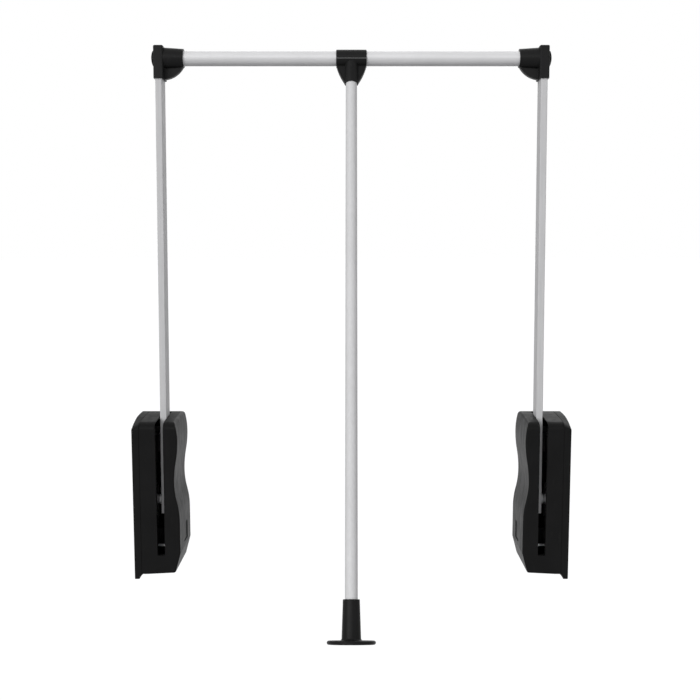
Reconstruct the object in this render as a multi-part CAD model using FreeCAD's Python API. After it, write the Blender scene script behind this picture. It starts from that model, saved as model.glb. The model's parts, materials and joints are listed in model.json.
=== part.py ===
import FreeCAD, Part
import math
import os

# Pull down closet rod (wardrobe lift): two side housings, two counterbalanced arms, a telescoping
# hanging bar and a pull rod with a grip. Millimetres.
# Frame: the origin is where the swing axis meets the left wall face. +X runs along the swing axis
# to the right wall, -Y points out of the wardrobe towards the user, +Z is up.

# ---------------------------------------------------------------- driving dimensions: overall
OVERALL_WIDTH = 710.0          # wall face to wall face, as stored
SWING_RADIUS = 724.5           # pivot axis to bar axis
ARM_LEAN = 2.12                # degrees that the stored arms lean back
SWING_ANGLE = 135.0            # degrees from the back stop to fully pulled down

# ---------------------------------------------------------------- driving dimensions: housing
HOUSING_DEPTH = 105.0
HOUSING_TOP = 142.0
HOUSING_BOTTOM = -122.0
FLANGE_THICKNESS = 12.0
BASE_WALL = 2.5
BASE_PLATE = 3.0
COVER_WALL = 2.5
COVER_BOTTOM = -113.6
COVER_DRAFT = 2.8              # rise of the cover's underside towards its inner face
SEAM = 0.8                     # rebate that shows as a line between base and cover
TOP_FRONT_RADIUS = 14.5
TOP_BACK_RADIUS = 14.0
BOTTOM_RADIUS = 4.0
LIP_CONVEX = 4.0               # S-shaped lower lip of the flange
LIP_CONCAVE = 3.5
PAD_X = 75.3                   # widest part of the inner face
PAD_TOP = -25.0
PAD_BOTTOM = -78.5
HEEL_X = 66.7                  # foot of the chamfer below the pad
WAIST_X = 67.2
WAIST_Z = 40.0
SHOULDER_X = 73.5
SHOULDER_Z = 108.0
CROWN_X = 68.5                 # inner face at the top
CROWN_ROUND = 5.5              # rounding where the inner face meets the top
PAD_ROUND = 4.0                # rounding at the pad's lower edge
FACE_ROUND = 2.6               # rounding between the side faces and the inner face
SLOT_WIDTH_TOP = 13.5
SLOT_WIDTH_BOTTOM = 12.4
SLOT_BOTTOM = -81.6
SLOT_BACK = 34.0               # how far back the slot runs over the top
SLOT_LIP = 8.0                 # depth of the stiffening ribs beside the slot
SLOT_RIB = 2.0                 # their thickness
SLOT_ROUND = 1.5
RECESS = (-11.0, 20.0, -71.3, -41.0)   # bare recess in the inner face: y, y, z, z
RECESS_DEPTH = 1.2
RECESS_ROUND = 2.0
HOOK_WIDTH = 14.0              # snap hooks that hold the cover
HOOK_THICKNESS = 1.8
HOOK_CATCH = 1.0
HOOK_NOSE_X = 5.0
HOOK_CATCH_X = 8.0
HOOK_FIRST_Z = -70.0
HOOK_PITCH = 82.5
HOOK_ROWS = 3
RIB_FIRST_Z = -98.0            # ribs behind the chassis
RIB_PITCH = 45.0
RIB_ROWS = 6
RIB_THICKNESS = 2.0

# ---------------------------------------------------------------- driving dimensions: mechanism
SHEET = 2.5                    # chassis steel
SCREW_HOLE_RADIUS = 2.6        # wall screws
SCREW_FRONT_IN = 11.5          # in from the housing's front and back faces
SCREW_BACK_IN = 22.5
SCREW_LOW_Z = -97.0
SCREW_HIGH_Z = 129.0
PLATE_MARGIN = 6.5             # wall plate beyond its screw holes
WEB_SHARE = 0.32               # back web's place between the mechanism and the housing's back face
WEB_LOW = -90.0
WEB_HIGH = 116.0
WINDOW_LOW = -62.0             # lightening window in the back web
WINDOW_HIGH = 72.0
PIN_RADIUS = 4.0
CROSS_PIN_RADIUS = 2.2
CROSS_PIN_Z = -80.0
RUNNING_CLEARANCE = 0.05       # shaft in bore
FIT_GAP = 0.05                 # parts assembled once and left
SIDE_GAP = 0.3                 # beside and between moving parts
MODULE = 2.7                   # gear size
PINION_TEETH = 12
PRESSURE_ANGLE = 20.0
ADDENDUM = 0.75                # stub teeth: height above the pitch line, in modules
DEDENDUM = 1.0
BACKLASH = 0.3
GEAR_WIDTH = 11.5
GEAR_CENTRE_X = 20.0
HUB_BOSS_RADIUS = 8.0
HUB_DISC_RADIUS = 14.0
HUB_DISC_THICKNESS = 4.0
RACK_TEETH = 7
RACK_BACKING = 7.6             # solid bar behind the rack's teeth
RACK_END = 6.0                 # plain end that takes the rod
GUIDE_WALL = 2.2
GUIDE_LOW = -20.0
GUIDE_HIGH = 36.0
ROD_RADIUS = 3.0               # rod and tube of the gas spring and of the damper
CYLINDER_RADIUS = 7.5
CYLINDER_MOUTH = 58.0          # below the pivot
CYLINDER_FLOOR = 2.0
ROD_HOLD = 4.0                 # rod left in the rack and in the tube's mouth
TAB_REACH = 10.0               # cylinder tab each side of the cylinder
BUMPER_Z = 104.0
BUMPER_WIDTH = 9.0
BUMPER_FOOT = 9.0              # half height of the buffer's foot
BUMPER_NOSE = 5.0

# ---------------------------------------------------------------- driving dimensions: arm and bar
ARM_WIDTH = 11.0
ARM_DEPTH = 30.0
ARM_WALL = 1.5
ARM_TAIL = 25.0                # arm below the pivot
ARM_HEAD = 13.0                # arm above the bar axis
ARM_CENTRE_X = 44.0
ARM_CORNER = 1.6
OUTER_TUBE_RADIUS = 11.75
OUTER_TUBE_WALL = 0.8
INNER_TUBE_WALL = 1.0
TUBE_SLIP = 0.15               # radial gap round the inner tube
TUBE_HOLD = 90.0               # inner tube fixed in the left half of the bar
TUBE_OVERLAP = 180.0           # inner tube sliding in the right half
CONNECTOR_WALL = 2.4
CONNECTOR_BELOW = 21.9         # block below and above the outer tube
CONNECTOR_ABOVE = 6.8
CONNECTOR_ROUND = 2.2
CONNECTOR_EDGE = 1.4
SOCKET_RIM_X = 83.0
SOCKET_WALL = 2.8
SOCKET_TAPER = 2.2
SOCKET_STOP_X = 54.0           # the bar's end seats here
GUSSET_THICKNESS = 9.0
GUSSET_DISH = 1.3              # depth of the dished sides
GUSSET_RIM = 3.0
GUSSET_BOW = (20.0, 14.7)      # its curved edge passes here, from the block and below the outer tube
GUSSET_TIP = -0.3
BOSS_RADIUS = 12.6
BOSS_X = 33.9
CAP_X = 30.4
CAP_RADIUS = 12.0
CAP_CROWN_RADIUS = 8.0
CAP_RIM = 1.0

# ---------------------------------------------------------------- driving dimensions: pull handle
HANDLE_LEAN = 21.8             # degrees that the stored pull rod leans towards the user
JOINT_LENGTH = 49.2
JOINT_WALL = 2.5
JOINT_COLLAR = 4.0             # half width of the collar on the inner tube, between the bar's halves
JOINT_SPLIT = 0.5              # gap that shows between the two halves
JOINT_EDGE = 0.8
JOINT_TONGUE = 0.8             # snap tongue along the split
JOINT_TONGUE_DEPTH = 2.5
JOINT_SOCKET_WALL = 2.2
JOINT_SOCKET_LENGTH = 33.8     # below the outer tube
JOINT_STRAIGHT = 12.0          # below the bar axis the sides start to curve in here
JOINT_WAIST = (19.1, 29.2)     # half width of the curved sides, at this depth
JOINT_WEB = 7.0
JOINT_RIM = 2.2
JOINT_DISH = 1.0
MOUTH_ARCH_RADIUS = 27.0
MOUTH_ARCH_RISE = 2.0          # height of the arch across the socket's mouth
PULL_ROD_RADIUS = 9.0
PULL_ROD_WALL = 1.2
PULL_ROD_DROP = 5.2            # rod's top below the outer tube
GRIP_TOP = 851.0
GRIP_TOP_RADIUS = 11.9
GRIP_NECK = 905.8
GRIP_NECK_RADIUS = 13.5
GRIP_DISC_RADIUS = 34.0
GRIP_END = 911.8
GRIP_FLOOR = 12.8              # solid end below the rod
GRIP_FLARE = 2.1
GRIP_EDGE = 1.1

# ---------------------------------------------------------------- derived sizes
HALF_DEPTH = HOUSING_DEPTH / 2
SCREW_FRONT_Y = SCREW_FRONT_IN - HALF_DEPTH
SCREW_BACK_Y = HALF_DEPTH - SCREW_BACK_IN
INNER_TUBE_RADIUS = OUTER_TUBE_RADIUS - OUTER_TUBE_WALL - TUBE_SLIP
SOCKET_RIM_RADIUS = OUTER_TUBE_RADIUS + SOCKET_WALL
SOCKET_ROOT_RADIUS = SOCKET_RIM_RADIUS + SOCKET_TAPER
JOINT_RADIUS = OUTER_TUBE_RADIUS + JOINT_WALL
JOINT_SOCKET_RADIUS = PULL_ROD_RADIUS + JOINT_SOCKET_WALL
JOINT_SOCKET_END = OUTER_TUBE_RADIUS + JOINT_SOCKET_LENGTH
PULL_ROD_TOP = OUTER_TUBE_RADIUS + PULL_ROD_DROP
ARM_OUT = ARM_CENTRE_X - ARM_WIDTH / 2
ARM_IN = ARM_CENTRE_X + ARM_WIDTH / 2
PITCH_RADIUS = MODULE * PINION_TEETH / 2
TIP_RADIUS = PITCH_RADIUS + ADDENDUM * MODULE
ROOT_RADIUS = PITCH_RADIUS - DEDENDUM * MODULE
RACK_PITCH = math.pi * MODULE
RACK_TIP_Y = -(PITCH_RADIUS - ADDENDUM * MODULE)
RACK_ROOT_Y = -(PITCH_RADIUS + DEDENDUM * MODULE)
RACK_BACK_Y = RACK_ROOT_Y - RACK_BACKING
RACK_LOW = -RACK_PITCH - RACK_END
RACK_HIGH = (RACK_TEETH - 1) * RACK_PITCH
RACK_TRAVEL = PITCH_RADIUS * math.radians(SWING_ANGLE)
CYLINDER_Y = (RACK_ROOT_Y + RACK_BACK_Y) / 2
CYLINDER_END = CYLINDER_MOUTH + ROD_HOLD + RACK_TRAVEL + 2 * CYLINDER_FLOOR
GEAR_X0 = GEAR_CENTRE_X - GEAR_WIDTH / 2
GEAR_X1 = GEAR_CENTRE_X + GEAR_WIDTH / 2
CHASSIS_X = BASE_PLATE
CHASSIS_FACE = CHASSIS_X + SHEET
CHEEK_X = ARM_IN + 2.5
MECHANISM_DEPTH = 2 * GUIDE_WALL + SIDE_GAP - RACK_BACK_Y
CHASSIS_BACK = MECHANISM_DEPTH + WEB_SHARE * (HALF_DEPTH - MECHANISM_DEPTH)
JOINT_BORE = OUTER_TUBE_RADIUS + RUNNING_CLEARANCE
ROD_END = GRIP_END - GRIP_FLOOR
X_AXIS = FreeCAD.Vector(1, 0, 0)
Y_AXIS = FreeCAD.Vector(0, 1, 0)
Z_AXIS = FreeCAD.Vector(0, 0, 1)
ORIGIN = FreeCAD.Vector(0, 0, 0)


# ---------------------------------------------------------------- small helpers
def point(x, y, z):
    return FreeCAD.Vector(x, y, z)


def block(x0, x1, y0, y1, z0, z1):
    return Part.makeBox(x1 - x0, y1 - y0, z1 - z0, point(x0, y0, z0))


def bar_x(radius, x0, x1, y=0.0, z=0.0):
    return Part.makeCylinder(radius, x1 - x0, point(x0, y, z), X_AXIS)


def bar_y(radius, y0, y1, x=0.0, z=0.0):
    return Part.makeCylinder(radius, y1 - y0, point(x, y0, z), Y_AXIS)


def bar_z(radius, z0, z1, x=0.0, y=0.0):
    return Part.makeCylinder(radius, z1 - z0, point(x, y, z0), Z_AXIS)


def pipe_x(outer, inner, x0, x1, y=0.0, z=0.0):
    return bar_x(outer, x0, x1, y, z).cut(bar_x(inner, x0, x1, y, z))


def edges_along(shape, axis, where):
    """Straight edges parallel to axis whose middle passes the test."""
    found = []
    for edge in shape.Edges:
        run = edge.Vertexes[-1].Point - edge.Vertexes[0].Point
        if isinstance(edge.Curve, Part.Line) and run.Length > 0.1:
            if abs(run.normalize().dot(axis)) > 0.999 and where(edge.CenterOfMass):
                found.append(edge)
    return found


def round_edges(shape, radius, axis, where=lambda middle: True):
    return shape.makeFillet(radius, edges_along(shape, axis, where))


def extrude_outline(edges, run):
    """Solid from the closed outline that the edges make, pushed along run."""
    return Part.Face(Part.Wire(edges)).extrude(run)


def polygon_prism(corners, run):
    return Part.Face(Part.makePolygon(corners + corners[:1])).extrude(run)


def revolve_x(profile):
    """Turned part about the X axis from (x, radius) corners."""
    corners = [point(x, 0, radius) for x, radius in profile]
    face = Part.Face(Part.makePolygon(corners + corners[:1]))
    return face.revolve(ORIGIN, X_AXIS, 360)


def revolve_z(profile):
    """Turned part about the Z axis from (radius, z) corners."""
    corners = [point(radius, 0, z) for radius, z in profile]
    face = Part.Face(Part.makePolygon(corners + corners[:1]))
    return face.revolve(ORIGIN, Z_AXIS, 360)


def arc(start, middle, end):
    return Part.Arc(start, middle, end).toShape()


def line(start, end):
    return Part.LineSegment(start, end).toShape()


def ease(start, end, y):
    """Two equal arcs that join start and end, upright at both; points are (x, z) pairs."""
    (x0, z0), (x1, z1) = start, end
    middle = ((x0 + x1) / 2, (z0 + z1) / 2)
    rise = (z1 - z0) / 2
    shift = (x1 - x0) / 2
    radius = (shift * shift + rise * rise) / (2 * abs(shift))
    half = math.asin(rise / radius) / 2
    bow = math.copysign(radius * (1 - math.cos(half)), shift)
    climb = radius * math.sin(half)
    first = arc(point(x0, y, z0), point(x0 + bow, y, z0 + climb), point(middle[0], y, middle[1]))
    last = arc(point(middle[0], y, middle[1]), point(x1 - bow, y, z1 - climb), point(x1, y, z1))
    return [first, last]


def lean_back(shape):
    """Turn a part of the arm from upright to its stored lean."""
    leaned = shape.copy()
    leaned.rotate(ORIGIN, X_AXIS, -ARM_LEAN)
    return leaned


# ---------------------------------------------------------------- housing
def side_outline(x0, x1, bottom, inset=0.0):
    """Slab with the housing's side view, grown inwards by inset."""
    front, back = -HALF_DEPTH + inset, HALF_DEPTH - inset
    low, high = bottom + inset, HOUSING_TOP - inset
    slab = block(x0, x1, front, back, low, high)
    slab = round_edges(slab, TOP_FRONT_RADIUS - inset, X_AXIS, lambda m: m.z > high - 1 and m.y < 0)
    slab = round_edges(slab, TOP_BACK_RADIUS - inset, X_AXIS, lambda m: m.z > high - 1 and m.y > 0)
    return round_edges(slab, BOTTOM_RADIUS - inset, X_AXIS, lambda m: m.z < low + 1)


def wall_screw_places():
    return [(y, z) for y in (SCREW_FRONT_Y, SCREW_BACK_Y) for z in (SCREW_LOW_Z, SCREW_HIGH_Z)]


def make_base():
    """Moulded tray against the wall: rim, ribs, S-shaped lower lip and screw holes."""
    body = side_outline(0, FLANGE_THICKNESS - SEAM, HOUSING_BOTTOM)
    step = side_outline(FLANGE_THICKNESS - SEAM, FLANGE_THICKNESS, HOUSING_BOTTOM, SEAM)
    lip_start = FLANGE_THICKNESS - LIP_CONCAVE - LIP_CONVEX
    low = HOUSING_BOTTOM
    corner = lip_start + LIP_CONVEX
    diagonal = math.sqrt(0.5)
    waste = [
        line(point(lip_start, -HALF_DEPTH, low), point(FLANGE_THICKNESS, -HALF_DEPTH, low)),
        line(point(FLANGE_THICKNESS, -HALF_DEPTH, low),
             point(FLANGE_THICKNESS, -HALF_DEPTH, low + LIP_CONVEX + LIP_CONCAVE)),
        arc(point(FLANGE_THICKNESS, -HALF_DEPTH, low + LIP_CONVEX + LIP_CONCAVE),
            point(FLANGE_THICKNESS - LIP_CONCAVE * diagonal, -HALF_DEPTH,
                  low + LIP_CONVEX + LIP_CONCAVE * diagonal),
            point(corner, -HALF_DEPTH, low + LIP_CONVEX)),
        arc(point(corner, -HALF_DEPTH, low + LIP_CONVEX),
            point(lip_start + LIP_CONVEX * diagonal, -HALF_DEPTH, low + LIP_CONVEX * (1 - diagonal)),
            point(lip_start, -HALF_DEPTH, low)),
    ]
    lip_waste = extrude_outline(waste, point(0, HOUSING_DEPTH, 0))
    hollow = side_outline(BASE_PLATE, FLANGE_THICKNESS, COVER_BOTTOM, BASE_WALL)
    base = body.fuse(step).cut(lip_waste).cut(hollow)
    ribs = []
    for row in range(RIB_ROWS):
        z = RIB_FIRST_Z + row * RIB_PITCH
        ribs.append(block(BASE_PLATE, CHASSIS_FACE + SHEET, CHASSIS_BACK + SHEET + SIDE_GAP,
                          HALF_DEPTH - BASE_WALL, z, z + RIB_THICKNESS))
    holes = [bar_x(SCREW_HOLE_RADIUS, 0, BASE_PLATE, y, z) for y, z in wall_screw_places()]
    windows = [hook_window(z) for z in hook_heights()]
    return base.fuse(ribs).cut(holes + windows).removeSplitter()


def hook_heights():
    return [HOOK_FIRST_Z + row * HOOK_PITCH for row in range(HOOK_ROWS)]


def hook_window(z):
    """Pair of recesses in the base's rim that the cover's hooks snap into."""
    half = HOOK_WIDTH / 2 + SIDE_GAP
    inner, outer = HALF_DEPTH - BASE_WALL, HALF_DEPTH - BASE_WALL + HOOK_CATCH + SIDE_GAP
    start = HOOK_NOSE_X - SIDE_GAP
    front = block(start, HOOK_CATCH_X, -outer, -inner, z - half, z + half)
    back = block(start, HOOK_CATCH_X, inner, outer, z - half, z + half)
    return front.fuse(back)


def cover_block(inset=0.0):
    """Cover's outer form, or its cavity when inset by the wall."""
    front = -HALF_DEPTH + inset
    low = COVER_BOTTOM + inset
    top = HOUSING_TOP - inset
    start = FLANGE_THICKNESS
    pad, heel, waist = PAD_X - inset, HEEL_X - inset, WAIST_X - inset
    shoulder, crown = SHOULDER_X - inset, CROWN_X - inset
    rise = top - SHOULDER_Z
    fall = shoulder - crown
    crown_radius = (rise * rise + fall * fall) / (2 * fall)
    half = math.asin(rise / crown_radius) / 2
    crown_middle = point(shoulder - crown_radius * (1 - math.cos(half)), front,
                         SHOULDER_Z + crown_radius * math.sin(half))
    heel_low = low + COVER_DRAFT
    edges = [
        line(point(start, front, low), point(heel, front, heel_low)),
        line(point(heel, front, heel_low), point(pad, front, PAD_BOTTOM)),
        line(point(pad, front, PAD_BOTTOM), point(pad, front, PAD_TOP)),
    ]
    edges += ease((pad, PAD_TOP), (waist, WAIST_Z), front)
    edges += ease((waist, WAIST_Z), (shoulder, SHOULDER_Z), front)
    edges += [
        arc(point(shoulder, front, SHOULDER_Z), crown_middle, point(crown, front, top)),
        line(point(crown, front, top), point(start, front, top)),
        line(point(start, front, top), point(start, front, low)),
    ]
    form = extrude_outline(edges, point(0, HOUSING_DEPTH - 2 * inset, 0))
    form = round_edges(form, CROWN_ROUND - inset, Y_AXIS, lambda m: m.z > top - 1 and m.x > start + 1)
    form = round_edges(form, PAD_ROUND, Y_AXIS, lambda m: m.x > heel - 1 and m.z < PAD_BOTTOM + 1)
    if inset == 0:
        form = form.makeFillet(FACE_ROUND, face_edges(form, front) + face_edges(form, -front))
    return form.common(side_outline(start, PAD_X + 1, COVER_BOTTOM, inset))


def face_edges(shape, level):
    """Edges where the front or back face at y = level meets the wavy inner face."""
    found = []
    for edge in shape.Edges:
        middle = edge.CenterOfMass
        flat = all(abs(vertex.Y - level) < 0.01 for vertex in edge.Vertexes)
        inner = middle.x > HEEL_X - PAD_ROUND
        between = COVER_BOTTOM + 1 < middle.z < HOUSING_TOP - TOP_BACK_RADIUS
        if flat and inner and between and abs(middle.y - level) < 0.01:
            found.append(edge)
    return found


def slot_tool():
    """Waste of the arm slot: slightly narrower at its foot, with rounded lower corners."""
    front, back = -HALF_DEPTH - 1, -HALF_DEPTH + SLOT_LIP + 1
    half_top, half_low = SLOT_WIDTH_TOP / 2, SLOT_WIDTH_BOTTOM / 2
    slot = polygon_prism([
        point(ARM_CENTRE_X - half_low, front, SLOT_BOTTOM),
        point(ARM_CENTRE_X + half_low, front, SLOT_BOTTOM),
        point(ARM_CENTRE_X + half_top, front, HOUSING_TOP + 1),
        point(ARM_CENTRE_X - half_top, front, HOUSING_TOP + 1),
    ], point(0, back - front, 0))
    slot = round_edges(slot, SLOT_ROUND, Y_AXIS, lambda m: m.z < SLOT_BOTTOM + 1)
    notch = block(ARM_CENTRE_X - half_top, ARM_CENTRE_X + half_top, front, SLOT_BACK,
                  HOUSING_TOP - TOP_BACK_RADIUS, HOUSING_TOP + 1)
    return slot.fuse(notch)


def make_cover():
    """Moulded shell over the mechanism, with the arm slot, recess, ribs and snap hooks."""
    rib = SLOT_WIDTH_TOP / 2 + SLOT_RIB
    lips = block(ARM_CENTRE_X - rib, ARM_CENTRE_X + rib, -HALF_DEPTH + COVER_WALL, -HALF_DEPTH + SLOT_LIP,
                 SLOT_BOTTOM - SLOT_RIB, HOUSING_TOP - TOP_BACK_RADIUS)
    hooks = [snap_hook(side, z) for side in (-1, 1) for z in hook_heights()]
    shell = cover_block().cut(cover_block(COVER_WALL)).fuse([lips] + hooks)
    y0, y1, z0, z1 = RECESS
    recess = round_edges(block(PAD_X - RECESS_DEPTH, PAD_X + 1, y0, y1, z0, z1), RECESS_ROUND, X_AXIS)
    return shell.cut([slot_tool(), recess]).removeSplitter()


def snap_hook(side, z):
    """Springy tongue on the cover's edge that reaches into the base and catches its window."""
    outer = HALF_DEPTH - BASE_WALL - SIDE_GAP / 2
    inner = outer - HOOK_THICKNESS
    root = FLANGE_THICKNESS + 4 * HOOK_THICKNESS
    profile = [(HOOK_NOSE_X, inner), (root, inner), (root, HALF_DEPTH - COVER_WALL / 2),
               (FLANGE_THICKNESS, HALF_DEPTH - COVER_WALL / 2), (FLANGE_THICKNESS, outer),
               (HOOK_CATCH_X - SIDE_GAP / 2, outer), (HOOK_CATCH_X - HOOK_CATCH, outer + HOOK_CATCH),
               (HOOK_NOSE_X, outer)]
    corners = [point(x, side * y, z - HOOK_WIDTH / 2) for x, y in profile]
    return polygon_prism(corners, point(0, 0, HOOK_WIDTH))


# ---------------------------------------------------------------- chassis and fixed mechanism parts
def make_chassis():
    """Folded steel bracket: wall plate, back web, inner cheek and the two cylinder tabs."""
    back = CHASSIS_BACK + SHEET
    end = CHEEK_X + SHEET
    foot = -CYLINDER_END - SHEET
    top = SCREW_HIGH_Z + PLATE_MARGIN
    plate = block(CHASSIS_X, CHASSIS_FACE, SCREW_FRONT_Y - PLATE_MARGIN, back, foot, top)
    plate = round_edges(plate, PLATE_MARGIN - 1, X_AXIS)
    web = block(CHASSIS_X, end, CHASSIS_BACK, back, WEB_LOW, WEB_HIGH)
    window = block(FLANGE_THICKNESS, CHEEK_X - SHEET, CHASSIS_BACK - 1, back + 1, WINDOW_LOW, WINDOW_HIGH)
    tab = block(CHASSIS_X, GEAR_X1 + SHEET, CYLINDER_Y - TAB_REACH, CYLINDER_Y + TAB_REACH,
                foot, -CYLINDER_END)
    holes = [bar_x(SCREW_HOLE_RADIUS, CHASSIS_X, CHASSIS_FACE, y, z) for y, z in wall_screw_places()]
    holes.append(bar_x(PIN_RADIUS + FIT_GAP, CHASSIS_X, end))
    holes.append(bar_x(CROSS_PIN_RADIUS + FIT_GAP, CHASSIS_X, end, 0, CROSS_PIN_Z))
    chassis = plate.fuse([web.cut(window), make_cheek(), tab, opposite(tab)])
    return chassis.cut(holes).removeSplitter()


def make_cheek():
    """Inner cheek: from the back web it narrows to the pivot pin and the cross pin."""
    back = CHASSIS_BACK + SHEET
    pin_edge = PIN_RADIUS * 2.5
    outline = [(back, WEB_LOW), (-pin_edge, WEB_LOW), (-pin_edge, pin_edge / 2), (-pin_edge / 2, pin_edge),
               (pin_edge / 2, pin_edge), (CHASSIS_BACK - pin_edge, WINDOW_HIGH), (back, WINDOW_HIGH)]
    return polygon_prism([point(CHEEK_X, y, z) for y, z in outline], point(SHEET, 0, 0))


def make_pivot_pin():
    """Axle between the wall plate and the cheek."""
    return bar_x(PIN_RADIUS, CHASSIS_X, CHEEK_X + SHEET)


def make_cross_pin():
    """Bright pin that ties the chassis together across the slot's lower end."""
    return bar_x(CROSS_PIN_RADIUS, CHASSIS_X, CHEEK_X + SHEET, 0, CROSS_PIN_Z)


def make_stop_bumper():
    """Rubber buffer on the back web; the stored arm rests against its nose."""
    lean = math.radians(ARM_LEAN)
    low, high = BUMPER_Z - BUMPER_NOSE, BUMPER_Z + BUMPER_NOSE
    face = ARM_DEPTH / 2 / math.cos(lean) + FIT_GAP
    shoulder = CHASSIS_BACK - 2 * BUMPER_NOSE
    outline = [(CHASSIS_BACK, BUMPER_Z - BUMPER_FOOT), (CHASSIS_BACK, BUMPER_Z + BUMPER_FOOT),
               (shoulder, BUMPER_Z + BUMPER_FOOT), (face + high * math.tan(lean), high),
               (face + low * math.tan(lean), low), (shoulder, BUMPER_Z - BUMPER_FOOT)]
    start = ARM_CENTRE_X - BUMPER_WIDTH / 2
    return polygon_prism([point(start, y, z) for y, z in outline], point(BUMPER_WIDTH, 0, 0))


def make_rack_guide():
    """Channel on the wall plate that keeps a rack in mesh with the pinion."""
    inner0, inner1 = GEAR_X0 - SIDE_GAP, GEAR_X1 + SIDE_GAP
    back = RACK_BACK_Y - SIDE_GAP
    edge = RACK_ROOT_Y - SIDE_GAP
    spine = block(CHASSIS_FACE, inner1 + GUIDE_WALL, back - GUIDE_WALL * 2, back, GUIDE_LOW, GUIDE_HIGH)
    near = block(inner0 - GUIDE_WALL, inner0, back, edge, GUIDE_LOW, GUIDE_HIGH)
    far = block(inner1, inner1 + GUIDE_WALL, back, edge, GUIDE_LOW, GUIDE_HIGH)
    return spine.fuse([near, far]).removeSplitter()


def opposite(shape):
    """The same part on the far side of the pivot: half a turn about the swing axis."""
    turned = shape.copy()
    turned.rotate(ORIGIN, X_AXIS, 180)
    return turned


# ---------------------------------------------------------------- gear parts
def tooth_half_angle(radius):
    """Half the angle that a pinion tooth with involute flanks fills at this radius."""
    pressure = math.radians(PRESSURE_ANGLE)
    slant = math.acos(min(PITCH_RADIUS * math.cos(pressure) / radius, 1))
    at_pitch = (RACK_PITCH - BACKLASH) / 4 / PITCH_RADIUS
    return at_pitch + (math.tan(pressure) - pressure) - (math.tan(slant) - slant)


def pinion_outline():
    """Corners of all the pinion's teeth, from root to tip and back."""
    base_radius = PITCH_RADIUS * math.cos(math.radians(PRESSURE_ANGLE))
    radii = (ROOT_RADIUS, base_radius, PITCH_RADIUS, TIP_RADIUS)
    flank = [(radius, tooth_half_angle(radius)) for radius in radii]
    corners = []
    for tooth in range(PINION_TEETH):
        middle = 2 * math.pi * tooth / PINION_TEETH
        rising = [(radius, middle - half) for radius, half in flank]
        falling = [(radius, middle + half) for radius, half in reversed(flank)]
        for radius, angle in rising + falling:
            corners.append(point(GEAR_X0, radius * math.cos(angle), radius * math.sin(angle)))
    return corners


def make_pinion_hub():
    """Hub that carries the arm: pinion for both racks, disc against the arm, bore for the pin."""
    boss = bar_x(HUB_BOSS_RADIUS, CHASSIS_FACE + SIDE_GAP, CHEEK_X - SIDE_GAP)
    disc = bar_x(HUB_DISC_RADIUS, ARM_OUT - HUB_DISC_THICKNESS, ARM_OUT)
    pinion = polygon_prism(pinion_outline(), point(GEAR_WIDTH, 0, 0))
    bore = bar_x(PIN_RADIUS + RUNNING_CLEARANCE, CHASSIS_FACE, CHEEK_X)
    return boss.fuse([disc, pinion]).cut(bore).removeSplitter()


def make_rack():
    """Rack in front of the pinion, with a plain lower end that takes the rod."""
    slope = math.tan(math.radians(PRESSURE_ANGLE))
    at_pitch = (RACK_PITCH - BACKLASH) / 4
    half_tip = at_pitch - ADDENDUM * MODULE * slope
    half_root = at_pitch + DEDENDUM * MODULE * slope
    outline = [(RACK_BACK_Y, RACK_LOW), (RACK_ROOT_Y, RACK_LOW)]
    for tooth in range(RACK_TEETH):
        centre = (tooth - 0.5) * RACK_PITCH
        outline += [(RACK_ROOT_Y, centre - half_root), (RACK_TIP_Y, centre - half_tip),
                    (RACK_TIP_Y, centre + half_tip), (RACK_ROOT_Y, centre + half_root)]
    outline += [(RACK_ROOT_Y, RACK_HIGH), (RACK_BACK_Y, RACK_HIGH)]
    rack = polygon_prism([point(GEAR_X0, y, z) for y, z in outline], point(GEAR_WIDTH, 0, 0))
    return rack.cut(bar_z(ROD_RADIUS + FIT_GAP, RACK_LOW, RACK_LOW + ROD_HOLD, GEAR_CENTRE_X, CYLINDER_Y))


def make_rod():
    """Rod from the rack's lower end into the mouth of its cylinder."""
    return bar_z(ROD_RADIUS, -CYLINDER_MOUTH - ROD_HOLD, RACK_LOW + ROD_HOLD, GEAR_CENTRE_X, CYLINDER_Y)


def make_cylinder():
    """Gas spring or damper tube on its tab, bored for the rod's whole travel."""
    tube = bar_z(CYLINDER_RADIUS, -CYLINDER_END, -CYLINDER_MOUTH, GEAR_CENTRE_X, CYLINDER_Y)
    bore = bar_z(ROD_RADIUS + RUNNING_CLEARANCE, -CYLINDER_END + CYLINDER_FLOOR, -CYLINDER_MOUTH,
                 GEAR_CENTRE_X, CYLINDER_Y)
    return tube.cut(bore)


# ---------------------------------------------------------------- arm and corner connector
def make_arm():
    """Flat rectangular tube, pierced near its foot for the hub."""
    top = SWING_RADIUS + ARM_HEAD
    half = ARM_DEPTH / 2
    outer = round_edges(block(ARM_OUT, ARM_IN, -half, half, -ARM_TAIL, top), ARM_CORNER, Z_AXIS)
    inner = block(ARM_OUT + ARM_WALL, ARM_IN - ARM_WALL, -half + ARM_WALL, half - ARM_WALL, -ARM_TAIL, top)
    return lean_back(outer.cut([inner, bar_x(HUB_BOSS_RADIUS + FIT_GAP, ARM_OUT, ARM_IN)]))


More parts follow.
